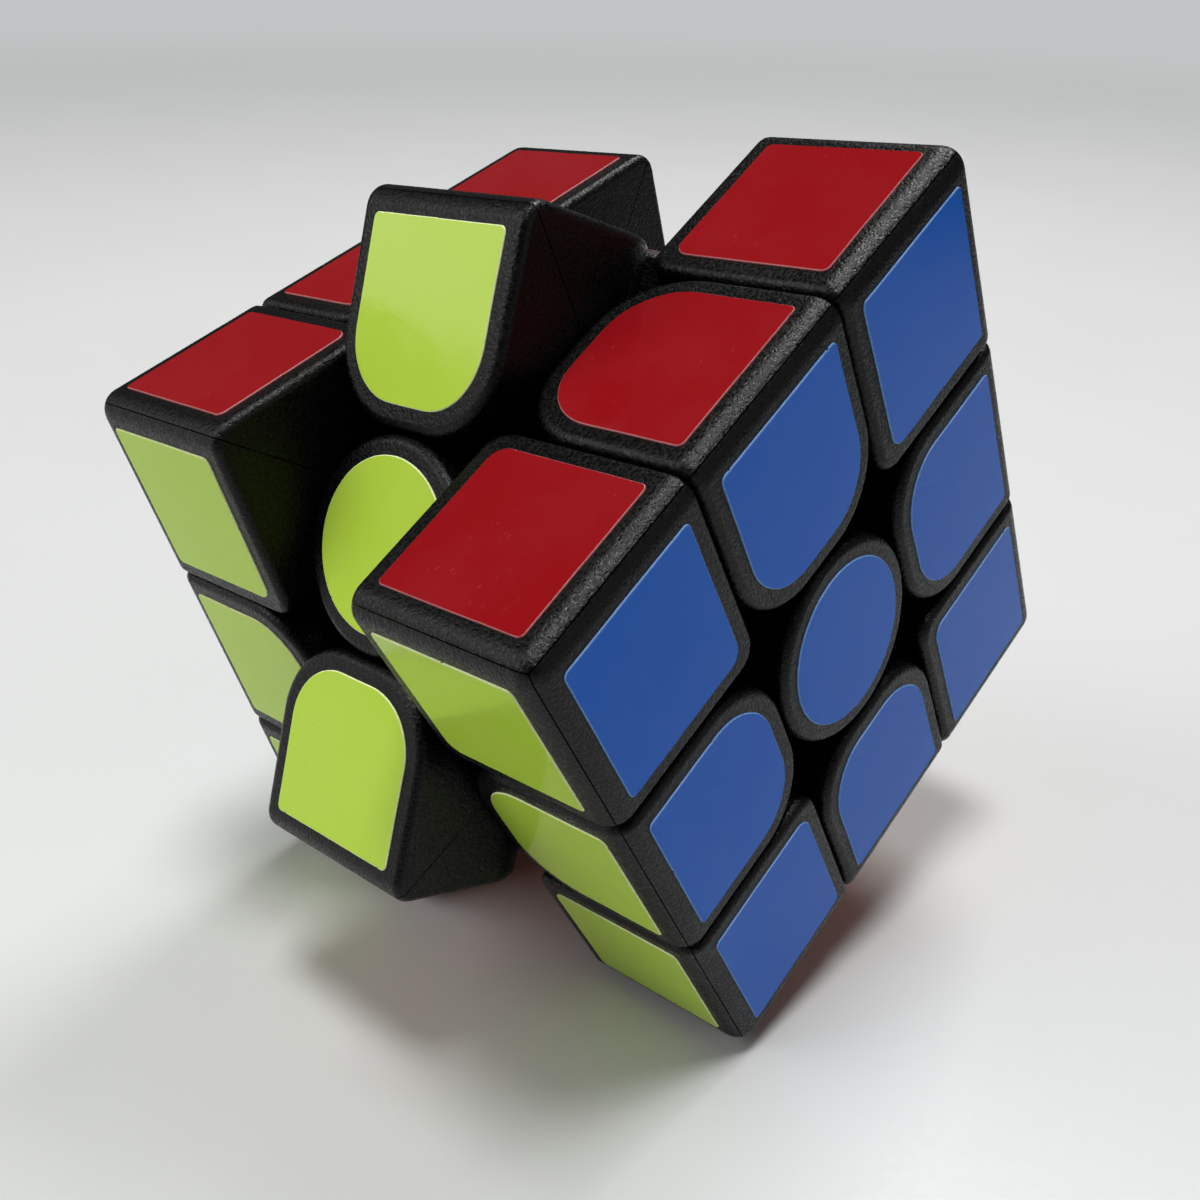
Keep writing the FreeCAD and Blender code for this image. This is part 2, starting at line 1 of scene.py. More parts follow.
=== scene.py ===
"""A part-turned twisty puzzle cube, standing on three corners on a pale table.

The cubies, the centre caps and the stickers are built here as finer meshes than the
frame's. Each master is made once, in millimetres and in the solved cube's own axes:
+X blue, -X green, +Y white, -Y lime, +Z red, -Z orange, with the cube's centre as the
origin. A node tree then sets its copies round the cube, turned with their layer, and
brings them to metres. The core, hubs, screws, washers and springs stay as the frame
has them and get their finish here.
"""

import json
import logging
import math
import random
from dataclasses import dataclass, field
from enum import Enum
from typing import Callable, Iterable, Optional, Sequence

import bmesh
import bpy
from mathutils import Matrix, Quaternion, Vector

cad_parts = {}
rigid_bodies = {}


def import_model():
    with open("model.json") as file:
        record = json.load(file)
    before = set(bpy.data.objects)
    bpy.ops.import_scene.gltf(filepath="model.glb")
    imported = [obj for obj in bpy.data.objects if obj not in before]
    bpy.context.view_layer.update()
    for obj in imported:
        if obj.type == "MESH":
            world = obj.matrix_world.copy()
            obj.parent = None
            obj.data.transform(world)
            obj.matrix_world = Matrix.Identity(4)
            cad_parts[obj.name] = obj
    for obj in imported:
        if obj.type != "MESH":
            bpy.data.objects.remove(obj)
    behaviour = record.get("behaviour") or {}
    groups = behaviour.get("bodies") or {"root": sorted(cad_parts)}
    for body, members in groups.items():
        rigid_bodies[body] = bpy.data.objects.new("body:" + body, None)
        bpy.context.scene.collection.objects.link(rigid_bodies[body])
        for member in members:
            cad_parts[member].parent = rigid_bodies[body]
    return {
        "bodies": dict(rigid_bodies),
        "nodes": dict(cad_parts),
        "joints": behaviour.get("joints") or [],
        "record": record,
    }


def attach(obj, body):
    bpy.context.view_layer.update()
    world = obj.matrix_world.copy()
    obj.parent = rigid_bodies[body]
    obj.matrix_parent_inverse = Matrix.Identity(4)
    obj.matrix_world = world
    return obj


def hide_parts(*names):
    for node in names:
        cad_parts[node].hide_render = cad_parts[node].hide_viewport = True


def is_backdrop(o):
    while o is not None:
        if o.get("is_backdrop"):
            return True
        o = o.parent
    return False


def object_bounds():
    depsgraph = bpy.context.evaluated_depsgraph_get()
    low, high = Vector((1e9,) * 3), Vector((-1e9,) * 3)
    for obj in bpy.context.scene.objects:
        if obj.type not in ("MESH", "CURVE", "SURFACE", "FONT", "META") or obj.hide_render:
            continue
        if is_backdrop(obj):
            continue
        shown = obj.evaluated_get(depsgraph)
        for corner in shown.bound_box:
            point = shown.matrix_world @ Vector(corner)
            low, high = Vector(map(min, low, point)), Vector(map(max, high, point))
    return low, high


LOG = logging.getLogger("puzzle_cube")
MM = 0.001
TOLERANCE = 0.001
X_AXIS = Vector((1.0, 0.0, 0.0))
Y_AXIS = Vector((0.0, 1.0, 0.0))
Z_AXIS = Vector((0.0, 0.0, 1.0))
CORNER_HOME = Vector((1.0, 1.0, 1.0))
EDGE_HOME = Vector((0.0, 1.0, 1.0))
CUBE_CENTRE = Vector((0.0, 0.0, 0.0))
SHARP_DEGREES = 50.0
FLAT_WEIGHT = 80
BALL_DIVISIONS = 5
LEAST_STEPS = 5
STEPS_PER_MM = 3.5
CUT_WAVES = 6
CUT_WAVE_TURNS = (3, 17)
SMOOTH = {"interpolation_type": "SMOOTHSTEP"}
COLOURS = {"data_type": "RGBA"}
# Nearly all of a noise's values lie in this span.
NOISE_SPAN = {"From Min": 0.3, "From Max": 0.7}

Test = Callable[[Vector], bool]
Outline = list[Vector]


class Cut(Enum):
    """How a tool shape changes a master."""

    TAKE_AWAY = "DIFFERENCE"
    KEEP_INSIDE = "INTERSECT"
    ADD = "UNION"


class Face(Enum):
    """The six faces of the solved cube: where each looks, and its vinyl's colour."""

    # Each face: where it looks, its film's colour, and its cut edge's paler colour, which
    # is partly a painted highlight.
    BLUE = ((1, 0, 0), "045dc5", "6f97cc")
    GREEN = ((-1, 0, 0), "0f7a36", "5bae78")
    WHITE = ((0, 1, 0), "d6d6d1", "efefea")
    LIME = ((0, -1, 0), "b0cf42", "eef4c4")
    RED = ((0, 0, 1), "800c12", "a85c60")
    ORANGE = ((0, 0, -1), "dc5514", "f0a066")

    @property
    def outward(self) -> Vector:
        """The face's normal on the solved cube."""
        return Vector(self.value[0])

    @property
    def film(self) -> str:
        """The colour of the face's vinyl."""
        return self.value[1]

    @property
    def cut(self) -> str:
        """The paler colour of the vinyl's cut edge, partly a painted highlight."""
        return self.value[2]

    @property
    def word(self) -> str:
        """The face's name as the frame's nodes have it."""
        return self.name.lower()


# ------------------------------------------------------------------ colours and nodes


def linear(hex_colour: str) -> tuple[float, float, float, float]:
    """Turns an sRGB hex colour into Blender's linear colour.

    Args:
        hex_colour: Six hex digits, such as "1b4490".

    Returns:
        Linear red, green and blue, and an alpha of 1.
    """
    knee, slope, lift, power = 0.04045, 12.92, 0.055, 2.4
    channels = [int(hex_colour[start:start + 2], 16) / 255 for start in (0, 2, 4)]
    straight = [channel / slope if channel <= knee
                else ((channel + lift) / (1 + lift)) ** power for channel in channels]
    return (straight[0], straight[1], straight[2], 1.0)


def per_metre(width_mm: float) -> float:
    """The scale of a pattern whose lumps are `width_mm` across."""
    return 1 / (width_mm * MM)


def about(middle: float, spread: float) -> dict[str, float]:
    """A Map Range's outputs, `spread` to each side of `middle`."""
    return {"To Min": middle - spread, "To Max": middle + spread}


def first_enabled(sockets: Iterable[bpy.types.NodeSocket],
                  name: str = "") -> bpy.types.NodeSocket:
    """The first enabled socket, of a name if one is given."""
    return next(item for item in sockets if item.enabled and name in ("", item.name))


def add_node(tree: bpy.types.NodeTree, kind: str, settings: Optional[dict] = None,
             inputs: Optional[dict] = None) -> bpy.types.Node:
    """Adds a node with its settings and links.

    Args:
        tree: The tree that gets the node.
        kind: The node's type name.
        settings: Its properties, by name.
        inputs: Its inputs, by name or number: a value, an output socket, or a node
            whose first enabled output is linked.

    Returns:
        The new node.
    """
    node = tree.nodes.new(kind)
    for name, value in (settings or {}).items():
        setattr(node, name, value)
    for name, value in (inputs or {}).items():
        target = (node.inputs[name] if isinstance(name, int)
                  else first_enabled(node.inputs, name))
        if isinstance(value, bpy.types.Node):
            value = first_enabled(value.outputs)
        if isinstance(value, bpy.types.NodeSocket):
            tree.links.new(value, target)
        else:
            target.default_value = value
    return node


@dataclass
class Surface:
    """A material in the making: its tree and the place on the object."""

    name: str
    material: bpy.types.Material = field(init=False)
    tree: bpy.types.NodeTree = field(init=False)
    place: bpy.types.NodeSocket = field(init=False)

    def __post_init__(self) -> None:
        """Makes the material with Object coordinates and nothing else."""
        self.material = bpy.data.materials.new(self.name)
        self.material.use_nodes = True
        self.tree = self.material.node_tree
        self.tree.nodes.clear()
        self.place = add_node(self.tree, "ShaderNodeTexCoord").outputs["Object"]

    def blended(self, value: bpy.types.Node, span: dict[str, float],
                first: str | bpy.types.Node, second: str) -> bpy.types.Node:
        """Goes smoothly from one colour to another as a value crosses a span.

        Args:
            value: The node whose value chooses.
            span: Map Range inputs, by name.
            first: The colour at the start, in hex, or a node that gives it.
            second: The colour at the end, in hex.

        Returns:
            The node whose output is the colour.
        """
        share = add_node(self.tree, "ShaderNodeMapRange", SMOOTH,
                         {"Value": value, **span})
        start = linear(first) if isinstance(first, str) else first
        return add_node(self.tree, "ShaderNodeMix", COLOURS,
                        {"Factor": share, "A": start, "B": linear(second)})

    def finished(self, **inputs: object) -> bpy.types.Material:
        """Ends the tree in a Principled shader.

        Args:
            **inputs: The shader's inputs, with a low line for each space.

        Returns:
            The material.
        """
        spaced = {name.replace("_", " "): value for name, value in inputs.items()}
        shader = add_node(self.tree, "ShaderNodeBsdfPrincipled", inputs=spaced)
        add_node(self.tree, "ShaderNodeOutputMaterial", inputs={"Surface": shader})
        return self.material


# -------------------------------------------------------------------------- finishes


@dataclass(frozen=True)
class GrainedAbs:
    """Black ABS moulded against a spark-eroded steel.

    It gives the eye a dense, dry grain. On flats it reads as an even charcoal; along
    the rounded rims the tiny facets catch the light one by one and glint. The grit's
    peaks are painted a lighter grey, partly the grain's own tone and partly painted
    glints.
    """

    name: str = "abs_black_spark_eroded"
    colour: str = "040404"
    # The lighter grey of the grit's peaks: partly the grain's tone, partly painted glints.
    worn: str = "111213"
    # The real grain is about 0.1 mm wide, too fine to show, so it is drawn twice that.
    grit_mm: float = 0.2
    grit_break: float = 0.65
    peak_start: float = 0.5
    peak_full: float = 0.78
    pit_mm: float = 0.32
    pit_floor: float = 0.15
    pit_rim: float = 0.7
    cloud_mm: float = 7.0
    depth_mm: float = 0.09
    grit_strength: float = 0.7
    pit_strength: float = 0.35
    roughness: float = 0.29
    spread: float = 0.12
    haze: float = 0.045
    ior: float = 1.45
    shine: float = 0.24

    def build(self) -> bpy.types.Material:
        """Builds the material.

        Returns:
            The material.
        """
        surface = Surface(self.name)
        tree, place = surface.tree, surface.place
        grit = add_node(tree, "ShaderNodeTexNoise", inputs={
            "Vector": place, "Scale": per_metre(self.grit_mm),
            "Roughness": self.grit_break})
        pits = add_node(tree, "ShaderNodeTexVoronoi", inputs={
            "Vector": place, "Scale": per_metre(self.pit_mm)})
        cloud = add_node(tree, "ShaderNodeTexNoise", inputs={
            "Vector": place, "Scale": per_metre(self.cloud_mm), "Detail": 3.0})
        peaks = {"From Min": self.peak_start, "From Max": self.peak_full}
        # The grit's peaks are painted lighter: partly the grain's tone, partly painted
        # glints.
        shade = surface.blended(grit, peaks, self.colour, self.worn)
        hazy = add_node(tree, "ShaderNodeMapRange", SMOOTH, {
            "Value": cloud, **NOISE_SPAN, **about(0.0, self.haze)})
        dry = add_node(tree, "ShaderNodeMapRange", SMOOTH, {
            "Value": pits, "From Min": self.pit_floor, "From Max": self.pit_rim,
            **about(self.roughness, self.spread)})
        gloss = add_node(tree, "ShaderNodeMath", {"operation": "ADD"}, {0: dry, 1: hazy})
        fine = add_node(tree, "ShaderNodeBump", inputs={
            "Height": grit, "Distance": self.depth_mm * MM,
            "Strength": self.grit_strength})
        pitted = add_node(tree, "ShaderNodeBump", inputs={
            "Height": pits, "Distance": self.depth_mm * MM, "Normal": fine,
            "Strength": self.pit_strength})
        return surface.finished(Base_Color=shade, Roughness=gloss, Normal=pitted,
                                IOR=self.ior, Specular_IOR_Level=self.shine)


@dataclass(frozen=True)
class CastVinyl:
    """Glossy cast vinyl film, die-cut and pressed on by hand.

    It gives the eye an even, saturated colour under a clear gloss. The film follows
    the grain beneath as a soft waviness, and has dust and hair-fine scratches.
    """

    face: Face
    wave_mm: float = 3.4
    wave_height_mm: float = 0.05
    wave_strength: float = 0.35
    peel_mm: float = 0.45
    peel_height_mm: float = 0.006
    peel_strength: float = 0.5
    smear_mm: float = 9.0
    smear_start: float = 0.35
    smear_full: float = 0.7
    grease_start: float = 0.3
    grease_full: float = 0.75
    dust_mm: float = 2.6
    dust_start: float = 0.5
    dust_full: float = 0.65
    # Real hair scratches and specks are a few hundredths of a millimetre across, too
    # fine to show, so they are drawn several times wider.
    speck: float = 0.03
    scratch_mm: float = 0.35
    scratch_pull: float = 0.06
    hair_start: float = 0.79
    hair_full: float = 0.83
    scratch_field_mm: float = 5.0
    field_start: float = 0.52
    field_full: float = 0.62
    scratch_turns: tuple[tuple[float, float, float], ...] = (
        (0.5, 0.3, 0.9), (1.3, 0.8, 0.2), (0.1, 1.2, 1.9))
    fade: float = 0.03
    mark_fade: float = 0.07
    mark_roughness: float = 0.15
    roughness: float = 0.11
    spread: float = 0.05
    ior: float = 1.45
    shine: float = 0.2

    def build(self) -> bpy.types.Material:
        """Builds the material.

        Returns:
            The material.
        """
        surface = Surface(f"cast_vinyl_{self.face.word}")
        tree, place = surface.tree, surface.place
        wave = add_node(tree, "ShaderNodeTexNoise", inputs={
            "Vector": place, "Scale": per_metre(self.wave_mm), "Detail": 1.0})
        peel = add_node(tree, "ShaderNodeTexNoise", inputs={
            "Vector": place, "Scale": per_metre(self.peel_mm), "Detail": 1.0})
        smear = add_node(tree, "ShaderNodeTexNoise", inputs={
            "Vector": place, "Scale": per_metre(self.smear_mm), "Detail": 4.0,
            "Roughness": 0.6})
        marks = self.marks(surface, wave)
        faded = {"From Min": self.smear_start, "From Max": self.smear_full,
                 "To Max": self.fade}
        tone = surface.blended(smear, faded, self.face.film, self.face.cut)
        shade = surface.blended(marks, {"To Max": self.mark_fade}, tone, self.face.cut)
        greasy = add_node(tree, "ShaderNodeMapRange", SMOOTH, {
            "Value": smear, "From Min": self.grease_start, "From Max": self.grease_full,
            **about(self.roughness, self.spread)})
        scuffed = add_node(tree, "ShaderNodeMapRange", SMOOTH, {
            "Value": marks, "To Max": self.mark_roughness})
        gloss = add_node(tree, "ShaderNodeMath", {"operation": "ADD"},
                         {0: greasy, 1: scuffed})
        wavy = add_node(tree, "ShaderNodeBump", inputs={
            "Height": wave, "Distance": self.wave_height_mm * MM,
            "Strength": self.wave_strength})
        skin = add_node(tree, "ShaderNodeBump", inputs={
            "Height": peel, "Distance": self.peel_height_mm * MM,
            "Strength": self.peel_strength, "Normal": wavy})
        return surface.finished(Base_Color=shade, Roughness=gloss, Normal=skin,
                                IOR=self.ior, Specular_IOR_Level=self.shine)

    def marks(self, surface: Surface, wave: bpy.types.Node) -> bpy.types.Node:
        """Specks of dust, and hair-fine scratches that run three ways.

        Args:
            surface: The material in the making.
            wave: The film's waviness, whose hollows keep no dust.

        Returns:
            The node whose value is 1 on a mark.
        """
        tree, place = surface.tree, surface.place
        cells = add_node(tree, "ShaderNodeTexVoronoi", inputs={
            "Vector": place, "Scale": per_metre(self.dust_mm)})
        # Only the very middle of each cell is a speck.
        dust = add_node(tree, "ShaderNodeMapRange", SMOOTH, {
            "Value": cells, "From Max": self.speck, "To Min": 1.0, "To Max": 0.0})
        crests = add_node(tree, "ShaderNodeMapRange", SMOOTH, {
            "Value": wave, "From Min": self.dust_start, "From Max": self.dust_full})
        marks = add_node(tree, "ShaderNodeMath", {"operation": "MULTIPLY"},
                         {0: dust, 1: crests})
        spread = add_node(tree, "ShaderNodeTexNoise", inputs={
            "Vector": place, "Scale": per_metre(self.scratch_field_mm), "Detail": 1.0})
        handled = add_node(tree, "ShaderNodeMapRange", SMOOTH, {
            "Value": spread, "From Min": self.field_start, "From Max": self.field_full})
        for turn in self.scratch_turns:
            along = add_node(tree, "ShaderNodeMapping", inputs={
                "Vector": place, "Rotation": turn,
                "Scale": (1.0, self.scratch_pull, 1.0)})
            hair = add_node(tree, "ShaderNodeTexNoise", inputs={
                "Vector": along, "Scale": per_metre(self.scratch_mm), "Detail": 0.0})
            line = add_node(tree, "ShaderNodeMapRange", SMOOTH, {
                "Value": hair, "From Min": self.hair_start, "From Max": self.hair_full})
            marks = add_node(tree, "ShaderNodeMath", {"operation": "MULTIPLY_ADD"},
                             {0: line, 1: handled, 2: marks})
        return marks


@dataclass(frozen=True)
class CutVinylEdge:
    """The die-cut edge of the film, matt and coloured paler than the film.

    The pale colour is partly the film's own lighter edge and partly a painted
    highlight: it gives the eye a thin light line round each sticker.
    """

    face: Face
    nib_mm: float = 0.3
    nib_height_mm: float = 0.02
    nib_strength: float = 0.4
    least_pale: float = 0.55
    roughness: float = 0.5
    spread: float = 0.1

    def build(self) -> bpy.types.Material:
        """Builds the material.

        Returns:
            The material.
        """
        surface = Surface(f"cut_vinyl_edge_{self.face.word}")
        tree, place = surface.tree, surface.place
        nibs = add_node(tree, "ShaderNodeTexNoise", inputs={
            "Vector": place, "Scale": per_metre(self.nib_mm)})
        paling = {**NOISE_SPAN, "To Min": self.least_pale}
        # The cut edge is painted paler than the film: partly its own tone, partly a
        # painted highlight.
        shade = surface.blended(nibs, paling, self.face.film, self.face.cut)
        gloss = add_node(tree, "ShaderNodeMapRange", SMOOTH, {
            "Value": nibs, **NOISE_SPAN, **about(self.roughness, self.spread)})
        rough = add_node(tree, "ShaderNodeBump", inputs={
            "Height": nibs, "Distance": self.nib_height_mm * MM,
            "Strength": self.nib_strength})
        return surface.finished(Base_Color=shade, Roughness=gloss, Normal=rough)


@dataclass(frozen=True)
class MouldedPolymer:
    """A smooth moulded part of the inside, such as a hub or the nylon core.

    It gives the eye a soft satin skin with faint flow marks.
    """

    name: str
    colour: str
    flow: str
    roughness: float
    spread: float = 0.07
    flow_mm: float = 4.0
    flow_turn: tuple[float, float, float] = (0.4, 0.2, 0.7)
    flow_pull: float = 0.3
    skin_mm: float = 0.3
    skin_height_mm: float = 0.01
    skin_strength: float = 0.4
    ior: float = 1.53

    def build(self) -> bpy.types.Material:
        """Builds the material.

        Returns:
            The material.
        """
        surface = Surface(self.name)
        tree, place = surface.tree, surface.place
        along = add_node(tree, "ShaderNodeMapping", inputs={
            "Vector": place, "Rotation": self.flow_turn,
            "Scale": (1.0, self.flow_pull, 1.0)})
        lines = add_node(tree, "ShaderNodeTexNoise", inputs={
            "Vector": along, "Scale": per_metre(self.flow_mm), "Detail": 4.0})
        skin = add_node(tree, "ShaderNodeTexNoise", inputs={
            "Vector": place, "Scale": per_metre(self.skin_mm)})
        shade = surface.blended(lines, NOISE_SPAN, self.colour, self.flow)
        gloss = add_node(tree, "ShaderNodeMapRange", SMOOTH, {
            "Value": lines, **NOISE_SPAN, **about(self.roughness, self.spread)})
        satin = add_node(tree, "ShaderNodeBump", inputs={
            "Height": skin, "Distance": self.skin_height_mm * MM,
            "Strength": self.skin_strength})
        return surface.finished(Base_Color=shade, Roughness=gloss, Normal=satin,
                                IOR=self.ior)


@dataclass(frozen=True)
class TurnedSteel:
    """Steel wire, or a turned and zinc-plated fixing.

    It gives the eye a bright metal with fine drawing or turning lines.
    """

    name: str
    colour: str
    dull: str
    roughness: float
    spread: float = 0.09
    # Real tool lines are a few hundredths of a millimetre apart, too fine to show, so
    # they are drawn coarser.
    line_mm: float = 0.12
    line_turn: tuple[float, float, float] = (0.3, 0.1, 0.2)
    line_pull: float = 0.15
    line_height_mm: float = 0.01
    line_strength: float = 0.4
    bloom_mm: float = 1.8

    def build(self) -> bpy.types.Material:
        """Builds the material.

        Returns:
            The material.
        """
        surface = Surface(self.name)
        tree, place = surface.tree, surface.place
        along = add_node(tree, "ShaderNodeMapping", inputs={
            "Vector": place, "Rotation": self.line_turn,
            "Scale": (1.0, 1.0, self.line_pull)})
        lines = add_node(tree, "ShaderNodeTexNoise", inputs={
            "Vector": along, "Scale": per_metre(self.line_mm), "Detail": 3.0})
        bloom = add_node(tree, "ShaderNodeTexNoise", inputs={
            "Vector": place, "Scale": per_metre(self.bloom_mm), "Detail": 4.0})
        shade = surface.blended(bloom, NOISE_SPAN, self.colour, self.dull)
        gloss = add_node(tree, "ShaderNodeMapRange", SMOOTH, {
            "Value": lines, **NOISE_SPAN, **about(self.roughness, self.spread)})
        lined = add_node(tree, "ShaderNodeBump", inputs={
            "Height": lines, "Distance": self.line_height_mm * MM,
            "Strength": self.line_strength})
        return surface.finished(Base_Color=shade, Roughness=gloss, Normal=lined,
                                Metallic=1.0)


@dataclass(frozen=True)
class PaleTable:
    """Satin melamine in off-white, the plain table under the cube.

    It gives the eye a quiet pale ground with hardly any grain, which fades into the
    backdrop far from the cube, so that no edge of the table shows.
    """

    name: str = "melamine_off_white"
    colour: str = "c9caca"
    shade: str = "c7c8c8"
    cloud_mm: float = 60.0
    fine_mm: float = 0.8
    roughness: float = 0.5
    spread: float = 0.05
    fade_start: float = 0.28
    fade_end: float = 0.95

    def build(self) -> bpy.types.Material:
        """Builds the material.

        Returns:
            The material.
        """
        surface = Surface(self.name)
        tree, place = surface.tree, surface.place
        cloud = add_node(tree, "ShaderNodeTexNoise", inputs={
            "Vector": place, "Scale": per_metre(self.cloud_mm), "Detail": 3.0})
        fine = add_node(tree, "ShaderNodeTexNoise", inputs={
            "Vector": place, "Scale": per_metre(self.fine_mm)})
        shade = surface.blended(cloud, NOISE_SPAN, self.colour, self.shade)
        gloss = add_node(tree, "ShaderNodeMapRange", SMOOTH, {
            "Value": fine, **NOISE_SPAN, **about(self.roughness, self.spread)})
        distance = add_node(tree, "ShaderNodeVectorMath", {"operation": "LENGTH"},
                            {"Vector": place})
        solid = add_node(tree, "ShaderNodeMapRange", SMOOTH, {
            "Value": distance, "From Min": self.fade_start, "From Max": self.fade_end,
            "To Min": 1.0, "To Max": 0.0})
        return surface.finished(Base_Color=shade, Roughness=gloss, Alpha=solid)


# --------------------------------------------------------------------- mesh workshop


def new_object(name: str, mesh: bpy.types.Mesh) -> bpy.types.Object:
    """Links a new object to the scene.

    Args:
        name: The object's name.
        mesh: Its mesh.

    Returns:
        The object.
    """
    thing = bpy.data.objects.new(name, mesh)
    bpy.context.scene.collection.objects.link(thing)
    return thing


def from_bmesh(name: str, shape: bmesh.types.BMesh) -> bpy.types.Object:
    """Turns a bmesh into an object and frees it.

    Args:
        name: The object's name.
        shape: The bmesh.

    Returns:
        The new object.
    """
    bmesh.ops.recalc_face_normals(shape, faces=shape.faces)
    mesh = bpy.data.meshes.new(name)
    shape.to_mesh(mesh)
    shape.free()
    return new_object(name, mesh)


def evaluated_mesh(thing: bpy.types.Object) -> bpy.types.Mesh:
    """The object's mesh with its modifiers applied.

    Args:
        thing: The object.

    Returns:
        A new mesh.
    """
    graph = bpy.context.evaluated_depsgraph_get()
    return bpy.data.meshes.new_from_object(thing.evaluated_get(graph),
                                           preserve_all_data_layers=True, depsgraph=graph)


def discard(*things: bpy.types.Object) -> None:
    """Removes helper objects with their meshes."""
    for thing in things:
        mesh = thing.data
        bpy.data.objects.remove(thing)
        if mesh is not None and mesh.users == 0:
            bpy.data.meshes.remove(mesh)


def apply_modifiers(thing: bpy.types.Object) -> None:
    """Makes the object's evaluated mesh its own and drops the modifiers.

    Args:
        thing: The object that is changed.
    """
    mesh = evaluated_mesh(thing)
    thing.modifiers.clear()
    old = thing.data
    thing.data = mesh
    bpy.data.meshes.remove(old)


def carve(base: bpy.types.Object, tool: bpy.types.Object, how: Cut) -> bpy.types.Object:
    """Changes `base` by an exact boolean and removes the tool.

    Args:
        base: The object that is changed.
        tool: The shape that changes it.
        how: What the tool does.

    Returns:
        The changed object.
    """
    change = base.modifiers.new("carve", "BOOLEAN")
    change.operation = how.value
    change.solver = "EXACT"
    change.object = tool
    apply_modifiers(base)
    discard(tool)
    return base


def block(name: str, lows: Sequence[float], highs: Sequence[float]) -> bpy.types.Object:
    """A box from its lowest to its highest corner.

    Args:
        name: The object's name.
        lows: Its lowest X, Y and Z.
        highs: Its highest X, Y and Z.

    Returns:
        The box.
    """
    shape = bmesh.new()
    bmesh.ops.create_cube(shape, size=1.0)
    size = Vector(highs) - Vector(lows)
    middle = (Vector(highs) + Vector(lows)) / 2
    shape.transform(Matrix.Translation(middle) @ Matrix.Diagonal((*size, 1.0)))
    return from_bmesh(name, shape)


def ball(name: str, radius: float) -> bpy.types.Object:
    """A finely faceted ball round the cube's centre.

    Args:
        name: The object's name.
        radius: The ball's radius.

    Returns:
        The ball.
    """
    shape = bmesh.new()
    bmesh.ops.create_icosphere(shape, subdivisions=BALL_DIVISIONS, radius=radius)
    return from_bmesh(name, shape)


def shell_of(name: str, inner: float, outer: float) -> bpy.types.Object:
    """The space between two balls."""
    return carve(ball(name, outer), ball(f"{name}_inner", inner), Cut.TAKE_AWAY)


def half_space(name: str, normal: Vector, distance: float,
               reach: float) -> bpy.types.Object:
    """A big block that fills the side of a plane that `normal` points into.

    Args:
        name: The object's name.
        normal: Where the side lies.
        distance: How far the plane is from the centre.
        reach: How far the block reaches.

    Returns:
        The block.
    """
    shape = bmesh.new()
    bmesh.ops.create_cube(shape, size=2 * reach)
    bmesh.ops.translate(shape, verts=shape.verts, vec=Z_AXIS * (reach + distance))
    turn = Z_AXIS.rotation_difference(normal.normalized()).to_matrix()
    shape.transform(turn.to_4x4())
    return from_bmesh(name, shape)


def round_edges(thing: bpy.types.Object, chosen: Test, radius: float, steps: int,
                sharp_only: bool = False) -> None:
    """Rounds the edges whose middle satisfies `chosen`.

    Args:
        thing: The object whose mesh is changed.
        chosen: Tells by an edge's middle whether it is rounded.
        radius: The radius of the round.
        steps: Facets across the round.
        sharp_only: Leaves edges between nearly tangent faces alone.
    """
    least = math.radians(SHARP_DEGREES) if sharp_only else 0.0
    shape = bmesh.new()
    shape.from_mesh(thing.data)
    edges = [edge for edge in shape.edges
             if edge.calc_face_angle(0.0) >= least
             and chosen((edge.verts[0].co + edge.verts[1].co) / 2)]
    bmesh.ops.bevel(shape, geom=edges, offset=radius, offset_type="OFFSET",
                    segments=steps, profile=0.5, affect="EDGES", clamp_overlap=False,
                    loop_slide=True)
    bmesh.ops.remove_doubles(shape, verts=shape.verts, dist=TOLERANCE / 10)
    bmesh.ops.recalc_face_normals(shape, faces=shape.faces)
    shape.to_mesh(thing.data)
    shape.free()


def smooth_rounds(thing: bpy.types.Object, crease_degrees: float = 38.0) -> None:
    """Shades rounds smooth and flats flat, with weighted normals.

    Args:
        thing: The object that is changed.
        crease_degrees: The least angle of an edge that stays sharp.
    """
    mesh = thing.data
    mesh.shade_smooth()
    mesh.set_sharp_from_angle(angle=math.radians(crease_degrees))
    weigh = thing.modifiers.new("weigh", "WEIGHTED_NORMAL")
    weigh.mode = "FACE_AREA"
    weigh.weight = FLAT_WEIGHT
    weigh.keep_sharp = True
    apply_modifiers(thing)


def arc(centre: Vector, radius: float, start: float, end: float, steps: int) -> Outline:
    """Points along an arc in the XY plane.

    Args:
        centre: The arc's centre.
        radius: Its radius.
        start: The first point's angle in degrees.
        end: The last point's angle in degrees.
        steps: How many parts it has.

    Returns:
        The points, with both ends.
    """
    angles = [math.radians(start + (end - start) * step / steps)
              for step in range(steps + 1)]
    return [centre + Vector((math.cos(angle), math.sin(angle), 0.0)) * radius
            for angle in angles]


